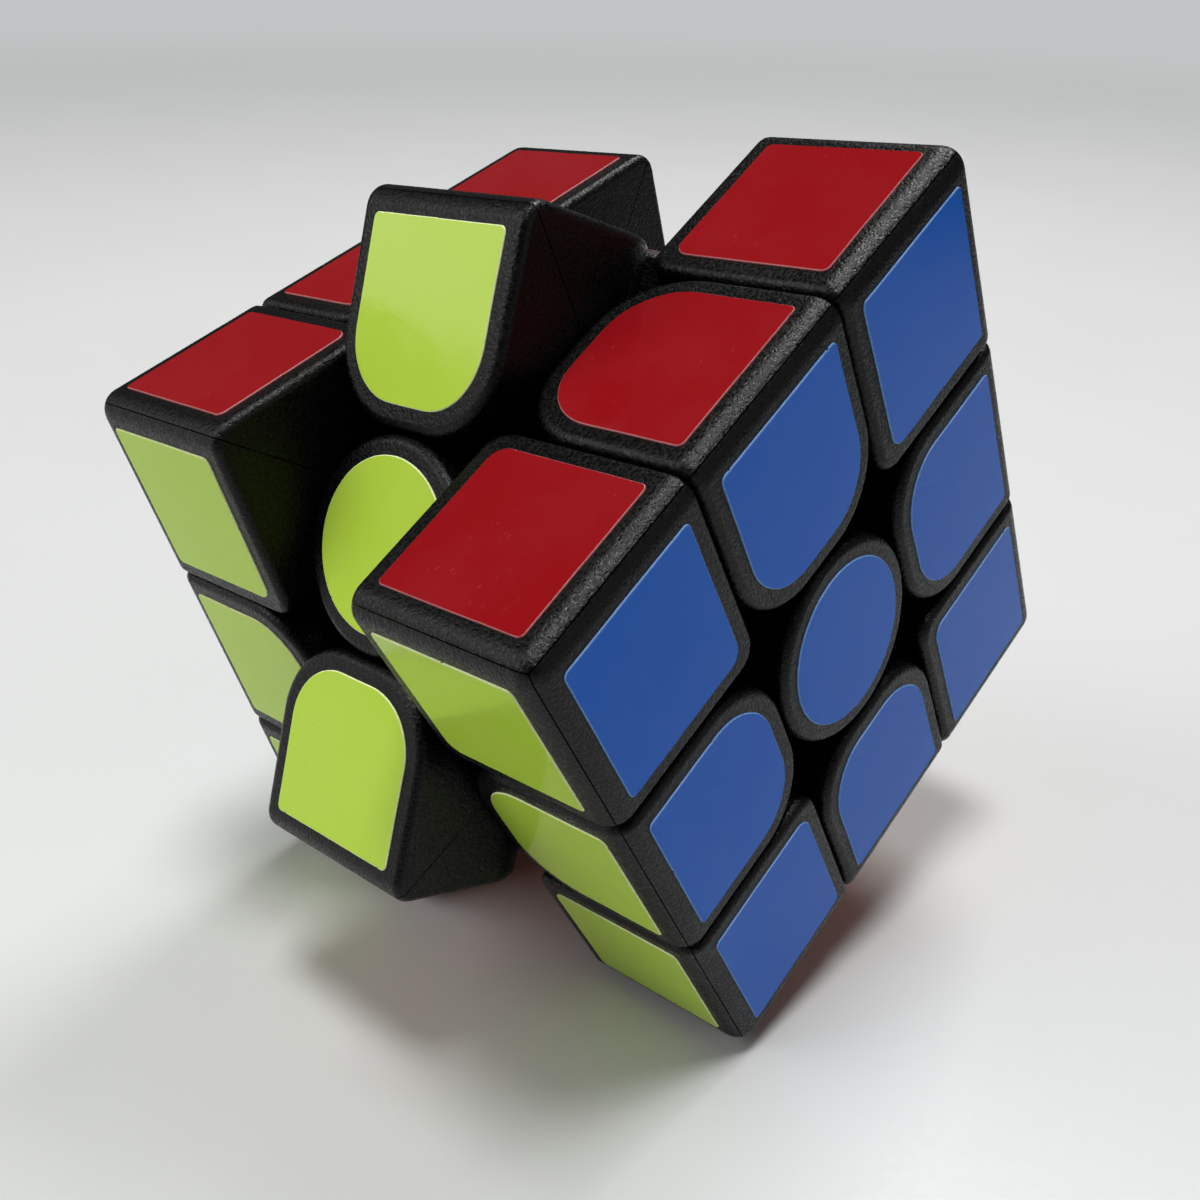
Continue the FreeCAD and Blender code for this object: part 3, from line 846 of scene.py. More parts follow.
def rounded_rectangle(lows: tuple[float, float], highs: tuple[float, float],
                      radii: Sequence[float], spacing: float = 0.0) -> Outline:
    """A rectangle's outline with rounded corners.

    Args:
        lows: Its lowest X and Y.
        highs: Its highest X and Y.
        radii: Radii of the corners, from bottom left anticlockwise; 0 stays sharp.
        spacing: Where above 0, straight runs get points about this far apart.

    Returns:
        The points, anticlockwise.
    """
    corners = ((lows[0], lows[1]), (highs[0], lows[1]), (highs[0], highs[1]),
               (lows[0], highs[1]))
    inward = ((1, 1), (-1, 1), (-1, -1), (1, -1))
    points: Outline = []
    for index, (corner, radius) in enumerate(zip(corners, radii)):
        centre = Vector((corner[0] + inward[index][0] * radius,
                         corner[1] + inward[index][1] * radius, 0.0))
        first = 180.0 + 90.0 * index
        steps = max(LEAST_STEPS, math.ceil(radius * STEPS_PER_MM))
        bend = arc(centre, radius, first, first + 90.0, steps) if radius else [centre]
        if points and spacing:
            points += between(points[-1], bend[0], spacing)
        points += bend
    if spacing:
        points += between(points[-1], points[0], spacing)
    return points


def between(start: Vector, end: Vector, spacing: float) -> Outline:
    """Points between two others, about `spacing` apart."""
    count = max(1, round((end - start).length / spacing))
    return [start.lerp(end, step / count) for step in range(1, count)]


def prism(name: str, outline: Outline, bottom: float, top: float) -> bpy.types.Object:
    """An outline in XY drawn up along Z.

    Args:
        name: The object's name.
        outline: Its points, anticlockwise.
        bottom: The lower height.
        top: The upper height.

    Returns:
        The prism.
    """
    shape = bmesh.new()
    rings = [[shape.verts.new((point.x, point.y, height)) for point in outline]
             for height in (bottom, top)]
    shape.faces.new(list(reversed(rings[0])))
    shape.faces.new(rings[1])
    for index in range(len(outline)):
        after = (index + 1) % len(outline)
        shape.faces.new((rings[0][index], rings[0][after], rings[1][after],
                         rings[1][index]))
    return from_bmesh(name, shape)


def lathe(name: str, profile: Sequence[tuple[float, float]],
          steps: int) -> bpy.types.Object:
    """A closed shape from a profile of (radius, height) turned about the Z axis.

    Args:
        name: The object's name.
        profile: The radii and heights, in order.
        steps: Facets round the axis.

    Returns:
        The turned shape.
    """
    shape = bmesh.new()
    rings = []
    for radius, height in profile:
        if radius < TOLERANCE:
            rings.append([shape.verts.new((0.0, 0.0, height))])
            continue
        angles = [2 * math.pi * step / steps for step in range(steps)]
        rings.append([shape.verts.new((radius * math.cos(angle),
                                       radius * math.sin(angle), height))
                      for angle in angles])
    for lower, upper in zip(rings, rings[1:]):
        for step in range(steps):
            after = (step + 1) % steps
            around = [lower[step % len(lower)], lower[after % len(lower)],
                      upper[after % len(upper)], upper[step % len(upper)]]
            corners = list(dict.fromkeys(around))
            if len(corners) > 2:
                shape.faces.new(corners)
    return from_bmesh(name, shape)


# ------------------------------------------------------------------ sizes and layers


@dataclass(frozen=True)
class CubeSizes:
    """Sizes of the solved cube in millimetres. `far` is half its side."""

    far: float
    slice_gap: float = 0.24
    wall: float = 1.5
    seam: float = 0.10
    outer_round: float = 2.0
    rim_round: float = 0.8
    ball_radius: float = 20.0
    ball_gap: float = 0.3
    foot_depth: float = 3.35
    undercut: float = 2.5
    plug_height: float = 2.8
    sticker_height: float = 0.12

    @property
    def slice_plane(self) -> float:
        """A sixth of the side, where the layers part."""
        return self.far / 3

    @property
    def near(self) -> float:
        """Inner faces of the outer cubies."""
        return self.slice_plane + self.slice_gap / 2

    @property
    def half_width(self) -> float:
        """Half the width of a middle cubie."""
        return self.slice_plane - self.slice_gap / 2

    @property
    def ball_outside(self) -> float:
        """The ball that the cubies outside it are cut to."""
        return self.ball_radius + self.ball_gap / 2

    @property
    def ball_inside(self) -> float:
        """The ball that the feet fill."""
        return self.ball_radius - self.ball_gap / 2

    @property
    def foot_inside(self) -> float:
        """The underside of the feet."""
        return self.ball_inside - self.foot_depth

    @staticmethod
    def from_record(record: dict, sticker_height: float = 0.12) -> "CubeSizes":
        """Reads half the side off the mount on the blue face.

        Args:
            record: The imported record.
            sticker_height: How thick the vinyl is, which the mount stands on.

        Returns:
            The sizes.
        """
        mount = next(item for item in record["mounts"] if item["name"] == "right_face")
        reach = Vector(mount["pos_m"]).length / MM
        return CubeSizes(far=round(reach - sticker_height, 4),
                         sticker_height=sticker_height)


@dataclass(frozen=True)
class Layer:
    """One of the three turning layers and how it stands.

    `stand` turns the solved cube's axes to where this layer's lie.
    """

    name: str
    side: int
    stand: Quaternion

    @property
    def body(self) -> str:
        """The body that the layer's cubies ride on."""
        return f"{self.name}_layer"

    @staticmethod
    def from_frame(frame: dict, name: str, side: int) -> "Layer":
        """Finds a layer's turn from the way its red stickers look.

        Args:
            name: The layer's name.
            side: Its place along the slice axis: 1, 0 or -1.

        Returns:
            The layer.
        """
        mounts = frame["record"]["mounts"]
        across = Vector(next(m for m in mounts if m["name"] == "right_face")["axis"])
        mesh = frame["nodes"][f"{name}_red_stickers"].data
        looks: dict[tuple, float] = {}
        for polygon in mesh.polygons:
            outside = polygon.normal.dot(polygon.center) > 0
            flat = abs(polygon.normal.dot(across)) < TOLERANCE
            if outside and flat:
                key = tuple(round(value, 5) for value in polygon.normal)
                looks[key] = looks.get(key, 0.0) + polygon.area
        red = Vector(max(looks, key=lambda key: looks[key])).normalized()
        across.normalize()
        third = red.cross(across).normalized()
        red = across.cross(third)
        rows = Matrix((across, third, red)).transposed()
        return Layer(name, side, rows.to_quaternion())


@dataclass(frozen=True)
class Copy:
    """One copy of a master: which one, how it is turned, and its own middle."""

    master: int
    turn: Quaternion
    middle: Vector


def places(count: int) -> list[Vector]:
    """Places of the cubies that show a number of faces.

    Args:
        count: How many faces each shows.

    Returns:
        The places, as signs along X, Y and Z.
    """
    signs = (-1, 0, 1)
    grid = [Vector((x, y, z)) for x in signs for y in signs for z in signs]
    return [place for place in grid if round(sum(abs(value) for value in place)) == count]


def turn_to(place: Vector, home: Vector) -> Quaternion:
    """The turn of the cube that carries a master's place `home` to `place`.

    Args:
        place: Where the cubie sits.
        home: Where its master sits.

    Returns:
        The turn.
    """
    quarter = math.pi / 2
    flips = [Quaternion(), Quaternion(X_AXIS, math.pi), Quaternion(X_AXIS, quarter),
             Quaternion(X_AXIS, -quarter), Quaternion(Y_AXIS, quarter),
             Quaternion(Y_AXIS, -quarter)]
    for flip in flips:
        for count in range(4):
            turn = Quaternion(Z_AXIS, quarter * count) @ flip
            if ((turn @ home) - place).length < TOLERANCE:
                return turn
    raise ValueError(f"no turn of the cube reaches {place}")


def face_towards(direction: Vector) -> Face:
    """The face that a direction points at."""
    return max(Face, key=lambda face: face.outward.dot(direction))


def cubie_node(kind: str, place: Vector) -> str:
    """A cubie's node name, from the faces it shows."""
    shown = [face.word for face in Face if face.outward.dot(place) > 0.5]
    return "_".join([kind] + shown)


# ------------------------------------------------------------------ the placing tree


@dataclass
class Placer:
    """Places copies of masters round the cube by Geometry Nodes.

    `slip_mm` and `skew_degrees` are how far a copy may sit off its true place, as
    stickers pressed on by hand do.
    """

    name: str
    slip_mm: float = 0.0
    skew_degrees: float = 0.0
    seed: int = 7
    tree: bpy.types.NodeTree = field(init=False)

    def __post_init__(self) -> None:
        """Builds the tree and its named inputs."""
        tree = bpy.data.node_groups.new(self.name, "GeometryNodeTree")
        tree.is_modifier = True
        self.tree = tree
        for name, kind in (("Places", "Geometry"), ("Masters", "Collection"),
                           ("Unit", "Float"), ("Slip", "Float"), ("Skew", "Float"),
                           ("Seed", "Int"), ("Finish", "Material"),
                           ("Edge finish", "Material")):
            tree.interface.new_socket(name, in_out="INPUT",
                                      socket_type=f"NodeSocket{kind}")
        tree.interface.new_socket("Pieces", in_out="OUTPUT",
                                  socket_type="NodeSocketGeometry")
        given = add_node(tree, "NodeGroupInput").outputs
        named = {name: add_node(tree, "GeometryNodeInputNamedAttribute",
                                {"data_type": kind}, {"Name": name})
                 for name, kind in (("master", "INT"), ("turn", "QUATERNION"),
                                    ("middle", "FLOAT_VECTOR"), ("cut", "BOOLEAN"))}
        chance = {}
        for salt, (name, ways) in enumerate((("Slip", (1, 1, 0)), ("Skew", (0, 0, 1)))):
            seed = add_node(tree, "ShaderNodeMath", {"operation": "ADD"},
                            {0: given["Seed"], 1: float(salt)})
            way = add_node(tree, "FunctionNodeRandomValue", {"data_type": "FLOAT_VECTOR"},
                           {"Min": tuple(-part for part in ways), "Max": ways,
                            "Seed": seed})
            chance[name] = add_node(tree, "ShaderNodeVectorMath", {"operation": "SCALE"},
                                    {"Vector": way, "Scale": given[name]})
        masters = add_node(tree, "GeometryNodeCollectionInfo", inputs={
            "Collection": given["Masters"], "Separate Children": True,
            "Reset Children": True})
        copies = add_node(tree, "GeometryNodeInstanceOnPoints", inputs={
            "Points": given["Places"], "Instance": masters, "Pick Instance": True,
            "Instance Index": named["master"], "Rotation": named["turn"]})
        slipped = add_node(tree, "GeometryNodeTranslateInstances", inputs={
            "Instances": copies, "Local Space": True, "Translation": chance["Slip"]})
        skewed = add_node(tree, "GeometryNodeRotateInstances", inputs={
            "Instances": slipped, "Local Space": True, "Pivot Point": named["middle"],
            "Rotation": chance["Skew"]})
        real = add_node(tree, "GeometryNodeRealizeInstances", inputs={"Geometry": skewed})
        scale = add_node(tree, "ShaderNodeCombineXYZ",
                         inputs={axis: given["Unit"] for axis in "XYZ"})
        sized = add_node(tree, "GeometryNodeTransform",
                         inputs={"Geometry": real, "Scale": scale})
        faced = add_node(tree, "GeometryNodeSetMaterial", inputs={
            "Geometry": sized, "Material": given["Finish"]})
        edged = add_node(tree, "GeometryNodeSetMaterial", inputs={
            "Geometry": faced, "Selection": named["cut"],
            "Material": given["Edge finish"]})
        add_node(tree, "NodeGroupOutput", inputs={"Pieces": edged})

    def place(self, name: str, copies: Sequence[Copy], masters: bpy.types.Collection,
              finish: bpy.types.Material,
              edge_finish: Optional[bpy.types.Material] = None) -> bpy.types.Object:
        """Makes one plain mesh of all copies.

        Args:
            name: The new piece's name.
            copies: Where each master goes.
            masters: The masters, picked by their order of name.
            finish: Their material.
            edge_finish: The material of faces marked as cut; the same if none.

        Returns:
            The new piece.
        """
        mesh = bpy.data.meshes.new(name)
        mesh.from_pydata([(0.0, 0.0, 0.0)] * len(copies), [], [])
        kinds = (("master", "INT", "value"), ("turn", "QUATERNION", "value"),
                 ("middle", "FLOAT_VECTOR", "vector"))
        for attribute, kind, word in kinds:
            mesh.attributes.new(attribute, kind, "POINT")
            for item, copy in zip(mesh.attributes[attribute].data, copies):
                setattr(item, word, getattr(copy, attribute))
        piece = new_object(name, mesh)
        modifier = piece.modifiers.new("place", "NODES")
        modifier.node_group = self.tree
        values = {"Masters": masters, "Unit": MM, "Slip": self.slip_mm,
                  "Skew": math.radians(self.skew_degrees), "Seed": self.seed,
                  "Finish": finish, "Edge finish": edge_finish or finish}
        for item in self.tree.interface.items_tree:
            if item.in_out == "INPUT" and item.name in values:
                modifier[item.identifier] = values[item.name]
        apply_modifiers(piece)
        for attribute in ("master", "turn", "middle", "cut"):
            if attribute in piece.data.attributes:
                piece.data.attributes.remove(piece.data.attributes[attribute])
        return piece


def shelf(name: str, masters: Sequence[bpy.types.Object]) -> bpy.types.Collection:
    """Puts masters into a collection, in the order given.

    Args:
        name: The collection's name, which its masters take too.
        masters: The masters.

    Returns:
        The collection.
    """
    collection = bpy.data.collections.new(name)
    bpy.context.scene.collection.children.link(collection)
    for index, master in enumerate(masters):
        master.name = f"{name}_{index:02d}"
        for holder in master.users_collection:
            holder.objects.unlink(master)
        collection.objects.link(master)
    return collection


def clear_shelf(collection: bpy.types.Collection) -> None:
    """Removes a collection of masters."""
    discard(*list(collection.objects))
    bpy.data.collections.remove(collection)


def hand_over(piece: bpy.types.Object, body: str, nodes: Sequence[str]) -> None:
    """Puts a piece on its body, hides the frame's nodes that it stands for, and reports
    it.

    Args:
        piece: The finished piece.
        body: The body that carries it.
        nodes: The frame's nodes that it stands for.
    """
    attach(piece, body)
    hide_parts(*nodes)
    LOG.info("%s: %d faces on %s for %s", piece.name, len(piece.data.polygons), body,
             ", ".join(nodes))


def shares(home: Vector, count: int) -> list[Quaternion]:
    """The turns about a cubie's diagonal that carry its first face to each."""
    return [Quaternion(home, 2 * math.pi / count * step) for step in range(count)]


def seat_cubies(kind: str, count: int, home: Vector, masters: bpy.types.Collection,
                layers: Sequence[Layer], placer: Placer,
                finish: bpy.types.Material) -> None:
    """Makes one piece a layer of its cubies of one kind, and clears their masters.

    Args:
        kind: The kind's word in the nodes' names.
        count: How many shells, and stickers, each has.
        home: Where the masters sit.
        masters: A shell and a foot.
        layers: The three layers.
        placer: The tree that sets the copies.
        finish: The plastic's material.
    """
    for layer in layers:
        seats = [place for place in places(count) if round(place.x) == layer.side]
        copies = []
        for place in seats:
            turn = layer.stand @ turn_to(place, home)
            copies += [Copy(0, turn @ share, CUBE_CENTRE)
                       for share in shares(home, count)]
            copies.append(Copy(1, turn, CUBE_CENTRE))
        if seats:
            piece = placer.place(f"{layer.name}_{kind}_cubies", copies, masters, finish)
            hand_over(piece, layer.body, [cubie_node(kind, place) for place in seats])
    clear_shelf(masters)


# ------------------------------------------------------------------ the sub-assemblies


@dataclass
class CornerCubies:
    """The eight corners: three grained shells each, on a foot."""

    sizes: CubeSizes
    nose_round: float = 2.2
    round_steps: int = 8
    rim_steps: int = 5

    def solid(self) -> bpy.types.Object:
        """The outside of a corner in the +++ octant, rounded and carved hollow.

        Returns:
            The solid.
        """
        sizes = self.sizes
        near, far = sizes.near, sizes.far
        shape = block("corner_solid", (near,) * 3, (far,) * 3)
        round_edges(shape, lambda p: self.count(p, near) == 2, self.nose_round,
                    self.round_steps)
        round_edges(shape, lambda p: self.count(p, far) == 2, sizes.outer_round,
                    self.round_steps)
        outer = far - sizes.outer_round - TOLERANCE
        round_edges(shape, lambda p: max(p) > outer, sizes.rim_round, self.rim_steps,
                    sharp_only=True)
        hollow = block("corner_hollow", (near + sizes.wall,) * 3, (far - sizes.wall,) * 3)
        carve(shape, hollow, Cut.TAKE_AWAY)
        return carve(shape, ball("corner_ball", sizes.ball_inside), Cut.TAKE_AWAY)

    @staticmethod
    def count(point: Vector, level: float) -> int:
        """How many of a point's coordinates lie on a plane."""
        return sum(abs(value - level) < TOLERANCE for value in point)

    def shell(self) -> bpy.types.Object:
        """The third of the corner that carries its +Z face.

        Returns:
            The shell.
        """
        reach = self.sizes.far * 2
        shape = self.solid()
        for normal in (Vector((-1, 0, 1)), Vector((0, -1, 1))):
            side = half_space("corner_side", normal, self.sizes.seam / 2, reach)
            carve(shape, side, Cut.KEEP_INSIDE)
        smooth_rounds(shape)
        return shape

    def foot(self) -> bpy.types.Object:
        """The foot under the neighbouring edges, with its plug into the shells.

        Returns:
            The foot.
        """
        sizes = self.sizes
        sole = block("corner_sole", (sizes.near - sizes.undercut,) * 3,
                     (sizes.ball_radius,) * 3)
        carve(sole, shell_of("sole_shell", sizes.foot_inside, sizes.ball_inside),
              Cut.KEEP_INSIDE)
        plug = block("corner_plug", (sizes.near + sizes.wall,) * 3,
                     (sizes.far - sizes.wall,) * 3)
        carve(plug, shell_of("plug_shell", sizes.ball_inside - sizes.wall,
                             sizes.ball_outside + sizes.plug_height), Cut.KEEP_INSIDE)
        foot = carve(sole, plug, Cut.ADD)
        smooth_rounds(foot)
        return foot

    def build(self, layers: Sequence[Layer], placer: Placer,
              finish: bpy.types.Material) -> None:
        """Builds the corners of each outer layer as one piece.

        Args:
            layers: The three layers.
            placer: The tree that sets the copies.
            finish: The plastic's material.
        """
        masters = shelf("corner_masters", (self.shell(), self.foot()))
        seat_cubies("corner", 3, CORNER_HOME, masters, layers, placer, finish)


@dataclass
class EdgeCubies:
    """The twelve edges: two grained half casings each, on a foot.

    Seen from outside, each half is a U whose round end faces the centre.
    """

    sizes: CubeSizes
    nose_round: float = 7.0
    round_steps: int = 8
    rim_steps: int = 5

    def casing(self) -> bpy.types.Object:
        """The half that carries the +Z face, of the edge between +Y and +Z.

        Returns:
            The half casing.
        """
        sizes = self.sizes
        near, far, side = sizes.near, sizes.far, sizes.half_width
        bottom = near - sizes.wall
        shape = prism("edge_solid", self.outline(0.0), bottom, far)
        round_edges(shape, lambda p: far - p.y < TOLERANCE and far - p.z < TOLERANCE,
                    sizes.outer_round, self.round_steps)
        outer = far - sizes.outer_round - TOLERANCE
        round_edges(shape,
                    lambda p: p.z > bottom + TOLERANCE
                    and (far - p.z < TOLERANCE
                         or (p.y > outer and side - abs(p.x) < TOLERANCE)),
                    sizes.rim_round, self.rim_steps, sharp_only=True)
        carve(shape, prism("edge_hollow", self.outline(sizes.wall),
                           near + sizes.wall, far - sizes.wall), Cut.TAKE_AWAY)
        carve(shape, ball("edge_ball", sizes.ball_outside), Cut.TAKE_AWAY)
        above = half_space("edge_above", Vector((0, -1, 1)), sizes.seam / 2, far * 2)
        carve(shape, above, Cut.KEEP_INSIDE)
        smooth_rounds(shape)
        return shape

    def outline(self, inset: float) -> Outline:
        """The U outline, moved in by `inset`.

        Args:
            inset: How far in.

        Returns:
            The points.
        """
        sizes = self.sizes
        side = sizes.half_width - inset
        nose = self.nose_round - inset
        return rounded_rectangle((-side, sizes.near + inset), (side, sizes.far - inset),
                                 (nose, nose, 0.0, 0.0))

    def foot(self) -> bpy.types.Object:
        """The foot under the two centres, with the neck that fills the mouth.

        Returns:
            The foot.
        """
        sizes = self.sizes
        width = sizes.half_width - sizes.undercut
        low = sizes.near - sizes.undercut
        sole = block("edge_sole", (-width, low, low),
                     (width, sizes.ball_radius, sizes.ball_radius))
        carve(sole, shell_of("sole_shell", sizes.foot_inside, sizes.ball_inside),
              Cut.KEEP_INSIDE)
        mouth = sizes.near + sizes.wall
        neck = block("edge_neck", (-width, mouth, mouth),
                     (width, sizes.ball_radius, sizes.ball_radius))
        carve(neck, shell_of("neck_shell", sizes.ball_inside - sizes.wall,
                             sizes.ball_outside + sizes.wall), Cut.KEEP_INSIDE)
        foot = carve(sole, neck, Cut.ADD)
        smooth_rounds(foot)
        return foot

    def build(self, layers: Sequence[Layer], placer: Placer,
              finish: bpy.types.Material) -> None:
        """Builds the edges of each layer as one piece.

        Args:
            layers: The three layers.
            placer: The tree that sets the copies.
            finish: The plastic's material.
        """
        masters = shelf("edge_masters", (self.casing(), self.foot()))
        seat_cubies("edge", 2, EDGE_HOME, masters, layers, placer, finish)


@dataclass
class CentreCaps:
    """The six round caps, each a cup that stands on its hub."""

    sizes: CubeSizes
    radius: float = 9.1
    top: float = 1.4
    ring_outside: float = 6.6
    ring_inside: float = 3.8
    hub_top: float = 22.0
    rim_steps: int = 7
    turned_steps: int = 96

    def cap(self) -> bpy.types.Object:
        """The cap of the +Z face.

        Returns:
            The cap.
        """
        sizes = self.sizes
        rim = sizes.rim_round
        inner = self.radius - sizes.wall
        ceiling = sizes.far - self.top
        profile = [(0.0, sizes.far)]
        for step in range(self.rim_steps + 1):
            angle = math.pi / 2 * step / self.rim_steps
            profile.append((self.radius - rim + rim * math.sin(angle),
                            sizes.far - rim + rim * math.cos(angle)))
        for radius in (self.radius, (self.radius + inner) / 2, inner):
            profile.append((radius, math.sqrt(sizes.ball_outside ** 2 - radius ** 2)))
        profile += [(inner, ceiling), (self.ring_outside, ceiling),
                    (self.ring_outside, self.hub_top), (self.ring_inside, self.hub_top),
                    (self.ring_inside, ceiling), (0.0, ceiling)]
        cap = lathe("cap", profile, self.turned_steps)
        smooth_rounds(cap)
        return cap

    def build(self, layers: Sequence[Layer], placer: Placer,
              finish: bpy.types.Material) -> None:
        """Builds one cap for each face.

        Args:
            layers: The three layers.
            placer: The tree that sets the copies.
            finish: The plastic's material.
        """
        masters = shelf("cap_masters", (self.cap(),))
        for face in Face:
            layer = layer_at(layers, face.outward)
            body = layer.body if layer.side else f"centre_{face.word}"
            turn = layer.stand @ turn_to(face.outward, Z_AXIS)
            piece = placer.place(f"{face.word}_centre_cap",
                                 [Copy(0, turn, CUBE_CENTRE)], masters, finish)
            hand_over(piece, body, [f"centre_cap_{face.word}"])
        clear_shelf(masters)


def layer_at(layers: Sequence[Layer], place: Vector) -> Layer:
    """The layer that a place of the solved cube belongs to."""
    return next(layer for layer in layers if layer.side == round(place.x))


@dataclass
class Stickers:
    """The 54 vinyl stickers: squares on corners, arches on edges, discs on centres.

    Each shape has a few masters with differently rough knife cuts, and its film falls
    away towards the cut by `skirt`.
    """

    sizes: CubeSizes
    outer_inset: float = 2.45
    inner_inset: float = 1.9
    small_round: float = 0.55
    corner_nose: float = 1.4
    edge_nose: float = 5.4
    disc_radius: float = 7.4
    skirt: float = 0.085
    wander: float = 0.02
    nick: float = 0.12
    nicks: int = 2
    nick_room: float = 0.6
    nick_depths: tuple[float, float] = (0.4, 1.0)
    disc_steps: int = 72
    cut_lean: float = 0.02
    cut_share: float = 0.6
    spacing: float = 1.1
    variants: int = 4
    seed: int = 11

    def outlines(self) -> list[Outline]:
        """The outlines of the corner, edge and centre stickers on the +Z face.

        Returns:
            One outline for each kind.
        """
        low = self.sizes.slice_plane + self.inner_inset
        high = self.sizes.far - self.outer_inset
        half = self.sizes.slice_plane - self.inner_inset
        small = self.small_round
        corner = rounded_rectangle((low, low), (high, high),
                                   (self.corner_nose, small, small, small), self.spacing)
        edge = rounded_rectangle((-half, low), (half, high),
                                 (self.edge_nose, self.edge_nose, small, small),
                                 self.spacing)
        disc = arc(CUBE_CENTRE, self.disc_radius, 0.0, 360.0, self.disc_steps)[:-1]
        return [corner, edge, disc]

    def middles(self) -> list[Vector]:
        """The middle of each kind of sticker.

        Returns:
            One point for each kind.
        """
        height = Z_AXIS * self.sizes.far
        return [sum(outline, Vector()) / len(outline) + height
                for outline in self.outlines()]

    def nicked(self, outline: Outline, luck: random.Random) -> Outline:
        """The outline with a few small nicks from handling.

        Args:
            outline: The clean outline.
            luck: The source of chance.

        Returns:
            The outline with its nicks.
        """
        count = len(outline)
        long_enough = [index for index in range(count)
                       if (outline[(index + 1) % count] - outline[index]).length
                       > self.nick_room]
        chosen = set(luck.sample(long_enough, self.nicks))
        points: Outline = []
        for index, point in enumerate(outline):
            points.append(point)
            if index in chosen:
                run = outline[(index + 1) % count] - point
                along = run.normalized()
                depth = luck.uniform(*self.nick_depths)
                inward = Vector((-along.y, along.x, 0.0)) * depth
                middle = point + run / 2
                points += [middle - along * self.nick, middle + inward * self.nick,
                           middle + along * self.nick]
        return points

    def film(self, name: str, outline: Outline, luck: random.Random) -> bpy.types.Object:
        """One sticker with a slightly wandering cut.

        Args:
            name: The object's name.
            outline: The outline at the foot of the cut.
            luck: The source of chance.

        Returns:
            The sticker.
        """
        bottom = self.sizes.far
        height = self.sizes.sticker_height
        steps = ((0.0, 0.0), (self.cut_lean, height * self.cut_share),
                 (self.skirt, height))
        normals = outward_normals(outline)
        wander = smooth_wander(len(outline), self.wander, luck)
        shape = bmesh.new()
        rings = [[shape.verts.new((*(point + normal * (drift - inset)).xy, bottom + lift))
                  for point, normal, drift in zip(outline, normals, wander)]
                 for inset, lift in steps]
        cut = shape.faces.layers.bool.new("cut")
        shape.faces.new(list(reversed(rings[0])))
        shape.faces.new(rings[-1])
        for lower, upper in zip(rings, rings[1:]):
            for index in range(len(outline)):
                after = (index + 1) % len(outline)
                side = shape.faces.new((lower[index], lower[after], upper[after],
                                        upper[index]))
                side[cut] = True
        return from_bmesh(name, shape)

    def build(self, layers: Sequence[Layer], placer: Placer,
              finishes: dict[Face, tuple[bpy.types.Material, bpy.types.Material]]
              ) -> None:
        """Builds one piece for each colour on each body.

        Args:
            layers: The three layers.
            placer: The tree that sets the copies.
            finishes: Each face's film and its cut edge.
        """
        luck = random.Random(self.seed)
        films = [self.film(f"film_{kind}", self.nicked(outline, luck), luck)
                 for kind, outline in enumerate(self.outlines())
                 for _ in range(self.variants)]
        masters = shelf("sticker_masters", films)
        groups: dict[tuple[str, Face], list[Copy]] = {}
        middles = self.middles()
        for kind, (count, home, turns) in enumerate(self.kinds()):
            for place in places(count):
                layer = layer_at(layers, place)
                seat = turn_to(place, home)
                for turn in turns:
                    face = face_towards(seat @ turn @ Z_AXIS)
                    loose = count == 1 and layer.side == 0
                    group = "centre" if loose else layer.name
                    pick = kind * self.variants + luck.randrange(self.variants)
                    groups.setdefault((group, face), []).append(
                        Copy(pick, layer.stand @ seat @ turn, middles[kind]))
        for (group, face), copies in groups.items():
            body = f"centre_{face.word}" if group == "centre" else f"{group}_layer"
            film, edge = finishes[face]
            piece = placer.place(f"{group}_{face.word}_vinyl", copies, masters, film,
                                 edge)
            hand_over(piece, body, [f"{group}_{face.word}_stickers"])
        clear_shelf(masters)

    @staticmethod
    def kinds() -> list[tuple[int, Vector, list[Quaternion]]]:
        """For each kind: stickers a cubie, the master's home, and its turns there."""
        homes = ((3, CORNER_HOME), (2, EDGE_HOME), (1, Z_AXIS))
        return [(count, home, shares(home, count)) for count, home in homes]


def outward_normals(outline: Outline) -> Outline:
    """Unit normals of an anticlockwise outline, at its points.

    Args:
        outline: The points.

    Returns:
        A normal for each point.
    """
    normals = []
    for index in range(len(outline)):
        before = outline[index - 1]
        after = outline[(index + 1) % len(outline)]
        along = (after - before).normalized()
        normals.append(Vector((along.y, -along.x, 0.0)))
    return normals


def smooth_wander(count: int, most: float, luck: random.Random) -> list[float]:
    """Small offsets round an outline that change smoothly from point to point.

    Args:
        count: How many points.
        most: The largest offset.
        luck: The source of chance.

    Returns:
        An offset for each point.
    """
    waves = [(luck.randint(*CUT_WAVE_TURNS), luck.uniform(0, 2 * math.pi),
              luck.random()) for _ in range(CUT_WAVES)]
    total = sum(share for _, _, share in waves)
    return [most * sum(share * math.sin(2 * math.pi * turns * index / count + phase)
                       for turns, phase, share in waves) / total
            for index in range(count)]


@dataclass
class Mechanism:
    """The core, hubs, screws, washers and springs, as the frame has them."""

    nodes: dict[str, bpy.types.Object]

    def dress(self) -> None:
        """Gives each kept node its finish."""
        hub = MouldedPolymer("abs_black_satin", "17181a", "202124", 0.34).build()
        core = MouldedPolymer("nylon_natural_moulded", "d9d6cb", "cbc8bb", 0.42).build()
        plated = TurnedSteel("steel_zinc_plated", "b9bcc0", "8f9296", 0.3).build()
        wire = TurnedSteel("spring_wire_drawn", "c8cacd", "9c9ea2", 0.24).build()
        finishes = {"core": core, "screws": plated, "washers": plated, "springs": wire}
        finishes.update({f"centre_hub_{face.word}": hub for face in Face})
        for name, finish in finishes.items():
            node = self.nodes[name]
            if not node.material_slots:
                node.data.materials.append(finish)
            for place in node.material_slots:
                place.material = finish
            LOG.info("%s keeps the frame's mesh, in %s", name, finish.name)


# ------------------------------------------------------------------ table and studio


